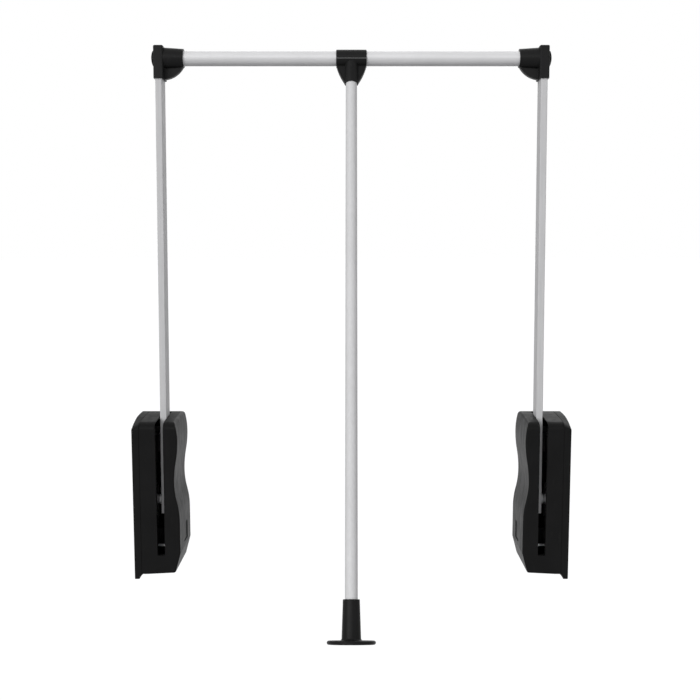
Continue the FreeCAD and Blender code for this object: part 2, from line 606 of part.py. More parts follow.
def make_corner_connector():
    """Moulded corner: arm block, tapered tube socket, curved gusset and cap boss."""
    axis = SWING_RADIUS
    x0, x1 = ARM_OUT - CONNECTOR_WALL, ARM_IN + CONNECTOR_WALL
    half = ARM_DEPTH / 2 + CONNECTOR_WALL
    low = axis - OUTER_TUBE_RADIUS - CONNECTOR_BELOW
    high = axis + OUTER_TUBE_RADIUS + CONNECTOR_ABOVE
    body = round_edges(block(x0, x1, -half, half, low, high), CONNECTOR_ROUND, Z_AXIS)
    rim = [edge for edge in body.Edges if edge.BoundBox.ZMin > high - 0.01]
    body = body.makeChamfer(CONNECTOR_EDGE, rim)
    root = x1 - 1
    socket = Part.makeCone(SOCKET_ROOT_RADIUS, SOCKET_RIM_RADIUS, SOCKET_RIM_X - root,
                           point(root, 0, axis), X_AXIS)
    boss = bar_x(BOSS_RADIUS, BOSS_X, x0 + 1, 0, axis)
    hollow = gusset_plate(root, GUSSET_RIM)
    shift = point(0, GUSSET_THICKNESS - GUSSET_DISH, 0)
    dished = [hollow.copy().translate(shift), hollow.copy().translate(-shift)]
    connector = body.fuse([socket, boss, gusset_plate(root, 0.0).cut(dished)])
    pocket = block(ARM_OUT - FIT_GAP, ARM_IN + FIT_GAP, -ARM_DEPTH / 2 - FIT_GAP, ARM_DEPTH / 2 + FIT_GAP,
                   low - 1, axis + ARM_HEAD + FIT_GAP)
    bore = bar_x(OUTER_TUBE_RADIUS + FIT_GAP, SOCKET_STOP_X, SOCKET_RIM_X + 1, 0, axis)
    return lean_back(connector.cut([pocket, bore]).removeSplitter())


def gusset_plate(start, inset):
    """Curved web under the tube socket, made smaller by inset for its dished sides."""
    axis = SWING_RADIUS
    y = -GUSSET_THICKNESS / 2
    root, tip = start + inset, SOCKET_RIM_X - inset
    top = axis - SOCKET_RIM_RADIUS / 2 - inset
    under = axis - OUTER_TUBE_RADIUS
    low = point(root, y, under - CONNECTOR_BELOW + inset)
    middle = point(start + GUSSET_BOW[0] - inset * 0.7, y, under - GUSSET_BOW[1] + inset * 0.7)
    end = point(tip, y, under + GUSSET_TIP + inset * 0.4)
    edges = [line(point(root, y, top), low), arc(low, middle, end), line(end, point(tip, y, top)),
             line(point(tip, y, top), point(root, y, top))]
    return extrude_outline(edges, point(0, GUSSET_THICKNESS, 0))


def make_corner_cap():
    """Low crowned cap on the connector's boss."""
    cap = revolve_x([(CAP_X, 0), (CAP_X, CAP_CROWN_RADIUS), (BOSS_X - CAP_RIM, CAP_RADIUS),
                     (BOSS_X, CAP_RADIUS), (BOSS_X, 0)])
    cap.translate(point(0, 0, SWING_RADIUS))
    return lean_back(cap)


# ---------------------------------------------------------------- hanging bar
def bar_centre():
    lean = math.radians(ARM_LEAN)
    return point(0, SWING_RADIUS * math.sin(lean), SWING_RADIUS * math.cos(lean))


def make_tube():
    """Half of the hanging bar, from its corner to the central joint's collar."""
    tube = pipe_x(OUTER_TUBE_RADIUS, OUTER_TUBE_RADIUS - OUTER_TUBE_WALL, SOCKET_STOP_X,
                  OVERALL_WIDTH / 2 - JOINT_COLLAR - SIDE_GAP)
    return tube.translate(bar_centre())


def make_inner_tube():
    """Tube inside both halves of the bar: fixed in the left half, sliding in the right one."""
    middle = OVERALL_WIDTH / 2
    tube = pipe_x(INNER_TUBE_RADIUS, INNER_TUBE_RADIUS - INNER_TUBE_WALL, middle - TUBE_HOLD,
                  middle + TUBE_OVERLAP)
    return tube.translate(bar_centre())


# ---------------------------------------------------------------- pull handle
def place_handle(shape):
    """Move a handle part from upright at the origin to the bar, leaning towards the user."""
    placed = shape.copy()
    placed.rotate(ORIGIN, X_AXIS, -HANDLE_LEAN)
    return placed.translate(point(OVERALL_WIDTH / 2, 0, 0) + bar_centre())


def joint_silhouette(inset=0.0):
    """Front view of the joint: square at the bar, its sides curving in to the rod socket."""
    half = JOINT_LENGTH / 2 - inset
    tip = JOINT_SOCKET_RADIUS - 1.0 - inset
    top, straight, end = JOINT_RADIUS + 1, -JOINT_STRAIGHT, -JOINT_SOCKET_END + inset
    front = -2 * JOINT_RADIUS
    waist_x, waist_z = JOINT_WAIST[0] - inset * 0.9, -JOINT_WAIST[1] + inset * 0.4
    edges = [
        line(point(half, front, straight), point(half, front, top)),
        line(point(half, front, top), point(-half, front, top)),
        line(point(-half, front, top), point(-half, front, straight)),
        arc(point(-half, front, straight), point(-waist_x, front, waist_z), point(-tip, front, end)),
        line(point(-tip, front, end), point(tip, front, end)),
        arc(point(tip, front, end), point(waist_x, front, waist_z), point(half, front, straight)),
    ]
    return extrude_outline(edges, point(0, 4 * JOINT_RADIUS, 0))


def joint_halves(lower):
    """Waste that leaves one half of the joint: the other half's space and the stepped bore."""
    half = JOINT_LENGTH / 2
    reach = 2 * JOINT_RADIUS
    split = JOINT_SPLIT / 2
    space = (-split, reach) if lower else (-reach, split)
    return [level(block(-half - 1, half + 1, -reach, reach, space[0], space[1])),
            bar_x(JOINT_BORE, -half - 1, -JOINT_COLLAR),
            bar_x(JOINT_BORE, JOINT_COLLAR, half + 1),
            bar_x(INNER_TUBE_RADIUS + RUNNING_CLEARANCE, -half, half)]


def level(shape):
    """Turn part of the joint's split so that it lies level while the handle leans."""
    turned = shape.copy()
    turned.rotate(ORIGIN, X_AXIS, HANDLE_LEAN)
    return turned


def tongues(gap):
    """Pair of snap tongues along the split, grown by gap for their grooves."""
    middle = (JOINT_BORE + JOINT_RADIUS) / 2
    reach = JOINT_LENGTH / 2 - JOINT_COLLAR + gap
    low = -JOINT_TONGUE_DEPTH - gap
    near, far = middle - JOINT_TONGUE / 2 - gap, middle + JOINT_TONGUE / 2 + gap
    sides = [(near, far), (-far, -near)]
    return [level(block(-reach, reach, y0, y1, low, JOINT_SPLIT)) for y0, y1 in sides]


def make_joint_body():
    """Lower half of the central joint: saddle, webs and rod socket."""
    half = JOINT_LENGTH / 2
    sleeve = bar_x(JOINT_RADIUS, -half, half)
    socket = bar_z(JOINT_SOCKET_RADIUS, -JOINT_SOCKET_END, 0)
    web = block(-half, half, -JOINT_WEB / 2, JOINT_WEB / 2, -JOINT_SOCKET_END, 0)
    body = sleeve.fuse([socket, web]).common(joint_silhouette())
    dish = joint_silhouette(JOINT_RIM).common(block(-half, half, -JOINT_WEB, -JOINT_WEB / 2 + JOINT_DISH,
                                                    -JOINT_SOCKET_END, -JOINT_RADIUS))
    dish = dish.cut(bar_z(JOINT_SOCKET_RADIUS, -JOINT_SOCKET_END, 0))
    arch = bar_y(MOUTH_ARCH_RADIUS, -JOINT_RADIUS, JOINT_RADIUS, 0,
                 MOUTH_ARCH_RISE - JOINT_SOCKET_END - MOUTH_ARCH_RADIUS)
    rod_bore = bar_z(PULL_ROD_RADIUS + FIT_GAP, -JOINT_SOCKET_END - 1, -PULL_ROD_TOP)
    cuts = joint_halves(True) + tongues(FIT_GAP) + [dish, dish.mirror(ORIGIN, Y_AXIS), arch, rod_bore]
    return place_handle(body.cut(cuts).removeSplitter())


def make_joint_cap():
    """Upper half of the central joint, with its two snap tongues."""
    half = JOINT_LENGTH / 2
    cap = bar_x(JOINT_RADIUS, -half, half)
    cap = cap.makeChamfer(JOINT_EDGE, [edge for edge in cap.Edges if isinstance(edge.Curve, Part.Circle)])
    cap = cap.cut(joint_halves(False)).fuse(tongues(0.0))
    return place_handle(cap.removeSplitter())


def make_pull_rod():
    """Round tube from the joint to the grip."""
    rod = bar_z(PULL_ROD_RADIUS, -ROD_END, -PULL_ROD_TOP)
    return place_handle(rod.cut(bar_z(PULL_ROD_RADIUS - PULL_ROD_WALL, -ROD_END, -PULL_ROD_TOP)))


def make_grip():
    """Tapered grip that flares into a round flange, open at the top for the rod."""
    bore = PULL_ROD_RADIUS + FIT_GAP
    neck, edge = GRIP_NECK_RADIUS + GRIP_FLARE, GRIP_DISC_RADIUS - GRIP_EDGE
    profile = [(bore, GRIP_TOP), (GRIP_TOP_RADIUS, GRIP_TOP),
               (GRIP_NECK_RADIUS, GRIP_NECK - GRIP_FLARE), (neck, GRIP_NECK),
               (edge, GRIP_NECK), (GRIP_DISC_RADIUS, GRIP_NECK + GRIP_EDGE),
               (GRIP_DISC_RADIUS, GRIP_END - GRIP_EDGE), (edge, GRIP_END), (0, GRIP_END), (0, ROD_END),
               (bore, ROD_END)]
    return place_handle(revolve_z([(radius, -depth) for radius, depth in profile]))


# ---------------------------------------------------------------- assembly
def side_parts():
    """Every piece of one side, in the left side's place."""
    guide, rack, rod, cylinder = make_rack_guide(), make_rack(), make_rod(), make_cylinder()
    return {
        "base": make_base(),
        "cover": make_cover(),
        "chassis": make_chassis(),
        "pivot_pin": make_pivot_pin(),
        "cross_pin": make_cross_pin(),
        "stop_bumper": make_stop_bumper(),
        "rack_guides": Part.makeCompound([guide, opposite(guide)]),
        "pinion_hub": make_pinion_hub(),
        "spring_rack": rack,
        "spring_rod": rod,
        "spring_cylinder": cylinder,
        "damper_rack": opposite(rack),
        "damper_rod": opposite(rod),
        "damper_cylinder": opposite(cylinder),
        "arm": make_arm(),
        "corner_connector": make_corner_connector(),
        "corner_cap": make_corner_cap(),
        "tube": make_tube(),
    }


def to_right(shape):
    """Mirror a left piece into the right side's place."""
    return shape.mirror(point(OVERALL_WIDTH / 2, 0, 0), X_AXIS)


def centre_parts():
    """The bar's inner tube and the pull handle."""
    return {
        "inner_tube": make_inner_tube(),
        "joint_body": make_joint_body(),
        "joint_cap": make_joint_cap(),
        "pull_rod": make_pull_rod(),
        "grip": make_grip(),
    }


def all_parts():
    """Every node's name and shape: both sides, then what lies between them."""
    parts = {}
    for name, shape in side_parts().items():
        parts["left_" + name] = shape
        parts["right_" + name] = to_right(shape)
    parts.update(centre_parts())
    return parts


os.makedirs("parts", exist_ok=True)
for node, solid in all_parts().items():
    solid.exportStep("parts/" + node + ".step")
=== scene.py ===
"""Looks of a pull down closet rod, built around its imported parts. Lengths are in metres."""

import json
import logging
import math
from collections.abc import Callable, Iterable
from dataclasses import dataclass
from enum import Enum
from functools import cached_property

import bmesh
import bpy
from bpy.types import ID, Material, Node, NodeSocket, NodeTree, Object
from mathutils import Matrix, Vector


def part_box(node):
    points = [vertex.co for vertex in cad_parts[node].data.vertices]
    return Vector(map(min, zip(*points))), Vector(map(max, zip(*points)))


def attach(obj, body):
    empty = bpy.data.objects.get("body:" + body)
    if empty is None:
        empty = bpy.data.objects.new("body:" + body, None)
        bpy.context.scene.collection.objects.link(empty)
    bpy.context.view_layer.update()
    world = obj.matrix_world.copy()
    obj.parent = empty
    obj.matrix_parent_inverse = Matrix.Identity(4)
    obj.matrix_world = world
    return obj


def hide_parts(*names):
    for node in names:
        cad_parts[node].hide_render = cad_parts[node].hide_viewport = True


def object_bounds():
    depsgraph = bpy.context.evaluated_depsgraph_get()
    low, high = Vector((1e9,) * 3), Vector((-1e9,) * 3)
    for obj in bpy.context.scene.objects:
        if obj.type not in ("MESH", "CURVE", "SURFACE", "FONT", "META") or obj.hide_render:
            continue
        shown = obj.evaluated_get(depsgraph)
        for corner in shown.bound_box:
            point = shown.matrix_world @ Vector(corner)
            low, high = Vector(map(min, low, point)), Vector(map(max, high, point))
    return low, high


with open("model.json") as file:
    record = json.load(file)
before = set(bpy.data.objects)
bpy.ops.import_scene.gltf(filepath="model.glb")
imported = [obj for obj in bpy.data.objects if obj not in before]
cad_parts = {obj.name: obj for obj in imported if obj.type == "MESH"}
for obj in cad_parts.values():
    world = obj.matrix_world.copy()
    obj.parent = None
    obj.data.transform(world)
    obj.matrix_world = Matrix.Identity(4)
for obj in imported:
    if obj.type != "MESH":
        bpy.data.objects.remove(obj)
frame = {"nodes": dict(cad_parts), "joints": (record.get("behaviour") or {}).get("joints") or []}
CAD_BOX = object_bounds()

MM = 0.001
MERGE = 1e-6
FLAT_ANGLE = math.radians(0.6)
QUARTER_TURN = math.pi / 2
WHITE = (1.0, 1.0, 1.0, 1.0)
LOG = logging.getLogger("closet_rod")

Pair = tuple[float, float]
Point = tuple[float, float, float]
Colour = tuple[float, float, float]
Feed = NodeSocket | Node | float | tuple[float, ...]


class Side(Enum):
    """The two sides of the wardrobe; the value starts the names of a side's nodes and bodies."""

    LEFT = "left"
    RIGHT = "right"

    def node(self, piece: str) -> str:
        """Name of this side's node or body."""
        return f"{self.value}_{piece}"

    @property
    def inwards(self) -> float:
        """Sign of the X direction that leads from this side's wall into the wardrobe."""
        return 1.0 if self is Side.LEFT else -1.0

    def depth(self, x: float) -> float:
        """Distance of an X from this side's wall."""
        return x - CAD_BOX[0][0] if self is Side.LEFT else CAD_BOX[1][0] - x


class Axis(Enum):
    """A direction that a finish's lines run in, as an index into a vector."""

    X = 0
    Z = 2

    def grain(self, across: float, along: float) -> Point:
        """Grain length along X, Y and Z of a pattern that runs along this axis."""
        return tuple(along if index == self.value else across for index in range(3))


# -------- node trees


class Wiring:
    """A node tree under construction."""

    def __init__(self, tree: NodeTree) -> None:
        """Take a tree and empty it."""
        self.tree = tree
        tree.nodes.clear()

    def node(self, kind: str, inputs: dict[str | int, Feed] | None = None, **settings: object) -> Node:
        """Add a node and feed its inputs.

        Args:
            kind: the node's type name.
            inputs: a value, a socket or a node (its first output) for each input, by name or number.
            **settings: attributes to set on it.

        Returns:
            The new node.
        """
        made = self.tree.nodes.new(kind)
        for key, value in settings.items():
            setattr(made, key, value)
        for key, value in (inputs or {}).items():
            named = [socket for socket in made.inputs if socket.enabled and socket.name == key]
            socket = named[0] if named else made.inputs[key]
            if isinstance(value, Node):
                value = next(output for output in value.outputs if output.enabled)
            if isinstance(value, NodeSocket):
                self.tree.links.new(value, socket)
            else:
                socket.default_value = value
        return made


class Shading(Wiring):
    """A material under construction: a Principled shader fed by object coordinates."""

    band_edge: float = 1 * MM

    def __init__(self, name: str) -> None:
        """Start an empty material.

        Args:
            name: name of the material.
        """
        self.material = bpy.data.materials.new(name)
        self.material.use_nodes = True
        super().__init__(self.material.node_tree)
        self.coordinates = self.node("ShaderNodeTexCoord").outputs["Object"]

    def stretched(self, pitch: float | Point, seed: float) -> Node:
        """Object coordinates counted in grains.

        Args:
            pitch: grain length, the same all round or one for each axis.
            seed: offset that makes patterns differ.

        Returns:
            The node that gives the coordinates.
        """
        lengths = pitch if isinstance(pitch, tuple) else (pitch,) * 3
        scale = tuple(1.0 / length for length in lengths)
        shift = (seed, seed * 0.7, seed * 1.3)
        inputs = {"Vector": self.coordinates, "Scale": scale, "Location": shift}
        return self.node("ShaderNodeMapping", inputs)

    def noise(self, pitch: float | Point, seed: float, detail: float = 3.0, roughness: float = 0.5) -> Node:
        """Noise of a grain length, with the number of its finer layers and their strength."""
        layers = {"Scale": 1.0, "Detail": detail, "Roughness": roughness}
        return self.node("ShaderNodeTexNoise", {"Vector": self.stretched(pitch, seed), **layers})

    def flakes(self, pitch: float, seed: float) -> Node:
        """Cells of a size, each with a grey value of its own."""
        cells = self.node("ShaderNodeTexVoronoi", {"Vector": self.stretched(pitch, seed), "Scale": 1.0})
        return self.node("ShaderNodeSeparateColor", {"Color": cells.outputs["Color"]})

    def ranged(self, source: Feed, low: float, high: float, start: float = 0.3, end: float = 0.7) -> Node:
        """A grey value mapped onto a range, so that start becomes low and end becomes high."""
        ends = {"From Min": start, "From Max": end, "To Min": low, "To Max": high}
        return self.node("ShaderNodeMapRange", {"Value": source, **ends})

    def blended(self, factor: Feed, first: Feed, second: Feed) -> Node:
        """Mix two colours by a grey value.

        Args:
            factor: share of the second colour.
            first: colour at 0, or a node that gives it.
            second: colour at 1, or a node that gives it.

        Returns:
            The node that gives the mixed colour.
        """
        colours = {
            name: (*colour, 1.0) if isinstance(colour, tuple) else colour
            for name, colour in (("A", first), ("B", second))
        }
        return self.node("ShaderNodeMix", {"Factor": factor, **colours}, data_type="RGBA")

    def lowered(self, source: Feed, amount: float, between: Pair) -> Node:
        """Take an amount off a grey value in a band of the X axis.

        Args:
            source: the grey value.
            amount: what is taken off inside the band.
            between: X where the band starts and ends.

        Returns:
            The node that gives the lowered value.
        """
        start, end = between
        x = self.node("ShaderNodeSeparateXYZ", {"Vector": self.coordinates})
        entered = self.ranged(x, 0.0, amount, start - self.band_edge, start)
        left = self.ranged(x, 0.0, amount, end, end + self.band_edge)
        inside = self.node("ShaderNodeMath", {0: source, 1: entered}, operation="SUBTRACT")
        return self.node("ShaderNodeMath", {0: inside, 1: left}, operation="ADD")

    def finished(
        self, colour: Feed, roughness: Feed, bumps: list[tuple[Feed, float]], **constants: float
    ) -> Material:
        """Close the material with its shader.

        Args:
            colour: base colour.
            roughness: roughness.
            bumps: height patterns with the depth of each, stacked in this order.
            **constants: plain values of other inputs, by name with underscores for spaces.

        Returns:
            The material.
        """
        inputs = {"Base Color": colour, "Roughness": roughness}
        inputs |= {key.replace("_", " "): value for key, value in constants.items()}
        below = {}
        for height, depth in bumps:
            bump = self.node("ShaderNodeBump", {"Height": height, "Distance": depth, **below})
            below = {"Normal": bump}
        shader = self.node("ShaderNodeBsdfPrincipled", inputs | below)
        self.node("ShaderNodeOutputMaterial", {"Surface": shader})
        return self.material


def grey(level: float) -> Colour:
    """Linear grey as a colour, with a touch of blue."""
    return (level, level, level * 1.015)


# -------- finishes; a pattern's pair of lengths is its grain across and along its lines


@dataclass(frozen=True)
class MouldedPlastic:
    """Injection moulded plastic: spark eroded grain, sink near thick places, light rubbing, faint dust."""

    name: str
    dark: float
    light: float
    roughness: float
    reflectance: float
    seed: float = 0.0
    polish: float = 0.0
    polished_x: Pair = (0.0, 0.0)
    grain: float = 0.5 * MM
    grain_depth: float = 0.03 * MM
    sink: float = 45 * MM
    sink_depth: float = 0.08 * MM
    rub: Pair = (9 * MM, 30 * MM)
    scratch: Pair = (0.35 * MM, 18 * MM)
    scratch_depth: float = 0.003 * MM

    def material(self) -> Material:
        """Build the material.

        Returns:
            The material.
        """
        made = Shading(self.name)
        sink = made.noise(self.sink, self.seed)
        speck = made.noise(self.grain, self.seed + 3.0, detail=2.0)
        rub = made.noise(Axis.Z.grain(*self.rub), self.seed + 7.0, detail=6.0, roughness=0.65)
        scratch = made.noise(Axis.Z.grain(*self.scratch), self.seed + 11.0, detail=2.0)
        tone = made.blended(made.ranged(sink, 0.0, 1.0), grey(self.dark), grey(self.light))
        dusty = made.blended(made.ranged(rub, 0.0, 0.35, 0.58, 0.8), tone, grey(self.light * 2.2))
        spread = made.ranged(rub, self.roughness - 0.07, self.roughness + 0.07)
        if self.polish:
            spread = made.lowered(spread, self.polish, self.polished_x)
        bumps = [(speck, self.grain_depth), (scratch, self.scratch_depth), (sink, self.sink_depth)]
        return made.finished(dusty, spread, bumps, Specular_IOR_Level=self.reflectance)


@dataclass(frozen=True)
class SilverCoat:
    """Baked silver-grey coat on steel tube: fine flake, orange peel and lines left by the drawing."""

    name: str
    tone: float
    roughness: float
    metallic: float
    along: Axis
    reflectance: float
    seed: float = 0.0
    lines: Pair = (0.4 * MM, 90 * MM)
    line_depth: float = 0.003 * MM
    streaks: Pair = (2.6 * MM, 260 * MM)
    peel: float = 1.1 * MM
    peel_depth: float = 0.006 * MM
    cloud: float = 70 * MM
    cloud_depth: float = 0.03 * MM
    handling: float = 22 * MM
    flake: float = 0.22 * MM

    def material(self) -> Material:
        """Build the material.

        Returns:
            The material.
        """
        made = Shading(self.name)
        lines = made.noise(self.along.grain(*self.lines), self.seed)
        peel = made.noise(self.peel, self.seed + 2.0, detail=2.0)
        cloud = made.noise(self.cloud, self.seed + 5.0)
        handled = made.noise(self.handling, self.seed + 9.0, detail=5.0, roughness=0.6)
        streaks = made.noise(self.along.grain(*self.streaks), self.seed + 12.0, detail=2.0)
        flake = made.flakes(self.flake, self.seed)
        tone = made.blended(made.ranged(cloud, 0.0, 1.0), self.shade(0.97), self.shade(1.02))
        for pattern, most, start, end, share in (
            (streaks, 0.12, 0.35, 0.65, 0.5),
            (flake, 0.12, 0.0, 1.0, 1.35),
            (handled, 0.1, 0.5, 0.75, 0.75),
        ):
            tone = made.blended(made.ranged(pattern, 0.0, most, start, end), tone, self.shade(share))
        spread = made.ranged(handled, self.roughness - 0.04, self.roughness + 0.06)
        bumps = [(lines, self.line_depth), (peel, self.peel_depth), (cloud, self.cloud_depth)]
        constants = {"Metallic": self.metallic, "Specular_IOR_Level": self.reflectance}
        return made.finished(tone, spread, bumps, **constants)

    def shade(self, share: float) -> Colour:
        """The coat's grey, made darker or lighter."""
        return grey(self.tone * share)


@dataclass(frozen=True)
class Steel:
    """Bare or passivated steel with grinding lines, a film of oil and darker spots."""

    name: str
    tone: Colour
    roughness: float
    along: Axis
    spotted: float = 0.25
    metallic: float = 1.0
    seed: float = 0.0
    lines: Pair = (0.08 * MM, 12 * MM)
    line_depth: float = 0.004 * MM
    spot: float = 3 * MM
    spot_depth: float = 0.01 * MM

    def material(self) -> Material:
        """Build the material.

        Returns:
            The material.
        """
        made = Shading(self.name)
        lines = made.noise(self.along.grain(*self.lines), self.seed)
        spots = made.noise(self.spot, self.seed + 4.0, detail=6.0, roughness=0.7)
        dark = tuple(channel * 0.55 for channel in self.tone)
        tone = made.blended(made.ranged(spots, 0.0, self.spotted, 0.45, 0.7), self.tone, dark)
        spread = made.ranged(spots, self.roughness - 0.05, self.roughness + 0.1)
        bumps = [(lines, self.line_depth), (spots, self.spot_depth)]
        return made.finished(tone, spread, bumps, Metallic=self.metallic)


class Finish(Enum):
    """Every finish on the object."""

    SHELL = MouldedPlastic(
        "shell_plastic", 0.0062, 0.0078, 0.5, 0.045, polish=0.1, polished_x=(66 * MM, 644 * MM)
    )
    CONNECTOR = MouldedPlastic("connector_plastic", 0.0105, 0.0125, 0.4, 0.05, seed=20.0)
    # Painted highlight: the joint lips get a lighter plastic tone that stands in for the highlight along
    # them.
    LIP_PAINTED_HIGHLIGHT = MouldedPlastic("rubbed_plastic", 0.045, 0.06, 0.3, 0.3, seed=25.0)
    GRIP = MouldedPlastic("grip_plastic", 0.0078, 0.0096, 0.38, 0.058, seed=40.0)
    RUBBER = MouldedPlastic("buffer_rubber", 0.014, 0.02, 0.75, 0.2, seed=60.0)
    # Guides and racks: dark plastic whose darkness is partly painted shade for the housing's shaded inside.
    GUIDE_DARK_AND_SHADE = MouldedPlastic("dark_guide_plastic", 0.03, 0.04, 0.4, 0.4, seed=70.0)
    ARM = SilverCoat("arm_silver", 0.475, 0.5, 0.0, Axis.Z, reflectance=0.08)
    TUBE = SilverCoat("tube_silver", 0.59, 0.45, 0.08, Axis.X, reflectance=0.25, seed=15.0)
    ROD = SilverCoat("rod_silver", 0.525, 0.6, 0.05, Axis.Z, reflectance=0.15, seed=30.0)
    # Chassis and cylinders: dark partly as their own black finish, partly as painted shade inside the
    # housing.
    CHASSIS = Steel("chassis_black", (0.03, 0.03, 0.032), 0.45, Axis.Z, metallic=0.3)
    CYLINDER_DARK_AND_SHADE = Steel("cylinder_lacquer", (0.02, 0.02, 0.021), 0.3, Axis.Z, metallic=0.0)
    BRIGHT = Steel("bright_steel", (0.58, 0.58, 0.6), 0.25, Axis.X)
    # Zinc plating whose near-white, mostly diffuse tone is partly a painted highlight on the cross pin and
    # the hub's collar.
    PLATED_AND_PAINTED_GLINT = Steel("zinc_plated_pin", (0.9, 0.9, 0.91), 0.3, Axis.X, 0.1, metallic=0.35, seed=12.0)
    SCREW = Steel("dark_screw_steel", (0.24, 0.24, 0.25), 0.38, Axis.X, 0.3, metallic=0.8, seed=16.0)
    HUB = Steel("sintered_hub", (0.42, 0.42, 0.43), 0.42, Axis.X, 0.4, metallic=0.4, seed=8.0)

    @cached_property
    def material(self) -> Material:
        """The finish's material, built when it is first asked for."""
        return self.value.material()


# -------- meshes


def into_scene(name: str, data: ID) -> Object:
    """Put a mesh, lamp or camera into the scene as an object at the origin.

    Args:
        name: name of the object.
        data: what it holds.

    Returns:
        The new object.
    """
    made = bpy.data.objects.new(name, data)
    bpy.context.scene.collection.objects.link(made)
    return made


def formed(name: str, form: bmesh.types.BMesh) -> Object:
    """Turn a finished form into an object at the origin.

    Args:
        name: name of the piece.
        form: the form, which is freed.

    Returns:
        The new object.
    """
    mesh = bpy.data.meshes.new(name)
    form.to_mesh(mesh)
    form.free()
    return into_scene(name, mesh)


def smoothed(piece: Object, width: float, angle: float = 30.0) -> None:
    """Round a piece's sharp edges and shade it smoothly, flat faces staying flat.

    Args:
        piece: the piece.
        width: width of the rounding.
        angle: edges sharper than this, in degrees, are rounded.
    """
    for face in piece.data.polygons:
        face.use_smooth = True
    rounding = piece.modifiers.new("rounding", "BEVEL")
    rounding.width = width
    rounding.segments = 2
    rounding.limit_method = "ANGLE"
    rounding.angle_limit = math.radians(angle)
    rounding.miter_outer = "MITER_ARC"
    normals = piece.modifiers.new("normals", "WEIGHTED_NORMAL")
    normals.keep_sharp = True


def merged_copy(node: str, name: str) -> Object:
    """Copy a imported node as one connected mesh, its flat faces made whole.

    Args:
        node: name of the node.
        name: name of the new piece.

    Returns:
        The copy.
    """
    source = frame["nodes"][node].data
    form = bmesh.new()
    corners = [form.verts.new(corner.co) for corner in source.vertices]
    for face in source.polygons:
        form.faces.new([corners[index] for index in face.vertices])
    bmesh.ops.remove_doubles(form, verts=form.verts, dist=MERGE)
    bmesh.ops.dissolve_degenerate(form, edges=form.edges, dist=MERGE)
    bmesh.ops.dissolve_limit(form, angle_limit=FLAT_ANGLE, verts=form.verts, edges=form.edges)
    return formed(name, form)


def sliced(piece: Object, above: float, places: Iterable[float]) -> None:
    """Cut a piece's upper faces along planes across Y, so that a rule can bend them.

    Args:
        piece: the piece.
        above: faces that reach higher than this are cut.
        places: the planes' Y values.
    """
    form = bmesh.new()
    form.from_mesh(piece.data)
    for y in places:
        faces = [face for face in form.faces if max(corner.co.z for corner in face.verts) > above]
        edges = list(dict.fromkeys(edge for face in faces for edge in face.edges))
        corners = list(dict.fromkeys(corner for face in faces for corner in face.verts))
        bmesh.ops.bisect_plane(
            form, geom=corners + edges + faces, dist=MERGE, plane_co=(0, y, 0), plane_no=(0, 1, 0)
        )
    form.to_mesh(piece.data)
    form.free()


def refined(
    node: str,
    ending: str,
    rounding: float,
    rule: Callable[[Vector], Vector],
    above: float = 0.0,
    cuts: Iterable[float] = (),
) -> Object:
    """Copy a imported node, move its corners by a rule and round its edges.

    Args:
        node: name of the node.
        ending: what the copy's name adds to the node's.
        rounding: width of the rounding.
        rule: gives a corner's new place from its old one.
        above: faces that reach higher than this are cut first.
        cuts: Y values of the planes that cut them.

    Returns:
        The copy.
    """
    piece = merged_copy(node, node + ending)
    if cuts:
        sliced(piece, above, cuts)
    for corner in piece.data.vertices:
        corner.co = rule(corner.co.copy())
    piece.data.update()
    smoothed(piece, rounding)
    return piece


def arc(centre: Pair, radius: float, start: float, end: float, steps: int) -> list[Pair]:
    """Points along an arc in a profile plane.

    Args:
        centre: its centre.
        radius: its radius.
        start: angle of the first point, in degrees from the first coordinate's direction.
        end: angle of the last point.
        steps: number of pieces that it is cut into.

    Returns:
        The points, both ends included.
    """
    points = []
    for step in range(steps + 1):
        angle = math.radians(start + (end - start) * step / steps)
        points.append((centre[0] + radius * math.cos(angle), centre[1] + radius * math.sin(angle)))
    return points


def turned(name: str, profile: list[Pair], place: Matrix, sides: int = 96) -> Object:
    """Turn a profile about its axis into a closed solid.

    Args:
        name: name of the piece.
        profile: (radius, height) points; the first and the last have radius 0.
        place: matrix from the profile's own frame, whose Z is the axis, to the object's frame.
        sides: number of flats round the axis.

    Returns:
        The solid.
    """
    form = bmesh.new()
    poles = [form.verts.new(place @ Vector((0, 0, height))) for _, height in (profile[0], profile[-1])]
    rings = []
    for radius, height in profile[1:-1]:
        ring = []
        for side in range(sides):
            angle = 2 * math.pi * side / sides
            corner = Vector((radius * math.cos(angle), radius * math.sin(angle), height))
            ring.append(form.verts.new(place @ corner))
        rings.append(ring)
    for side in range(sides):
        after = (side + 1) % sides
        form.faces.new((poles[0], rings[0][side], rings[0][after]))
        form.faces.new((poles[1], rings[-1][after], rings[-1][side]))
        for low, high in zip(rings, rings[1:]):
            form.faces.new((low[side], high[side], high[after], low[after]))
    bmesh.ops.recalc_face_normals(form, faces=form.faces)
    return formed(name, form)


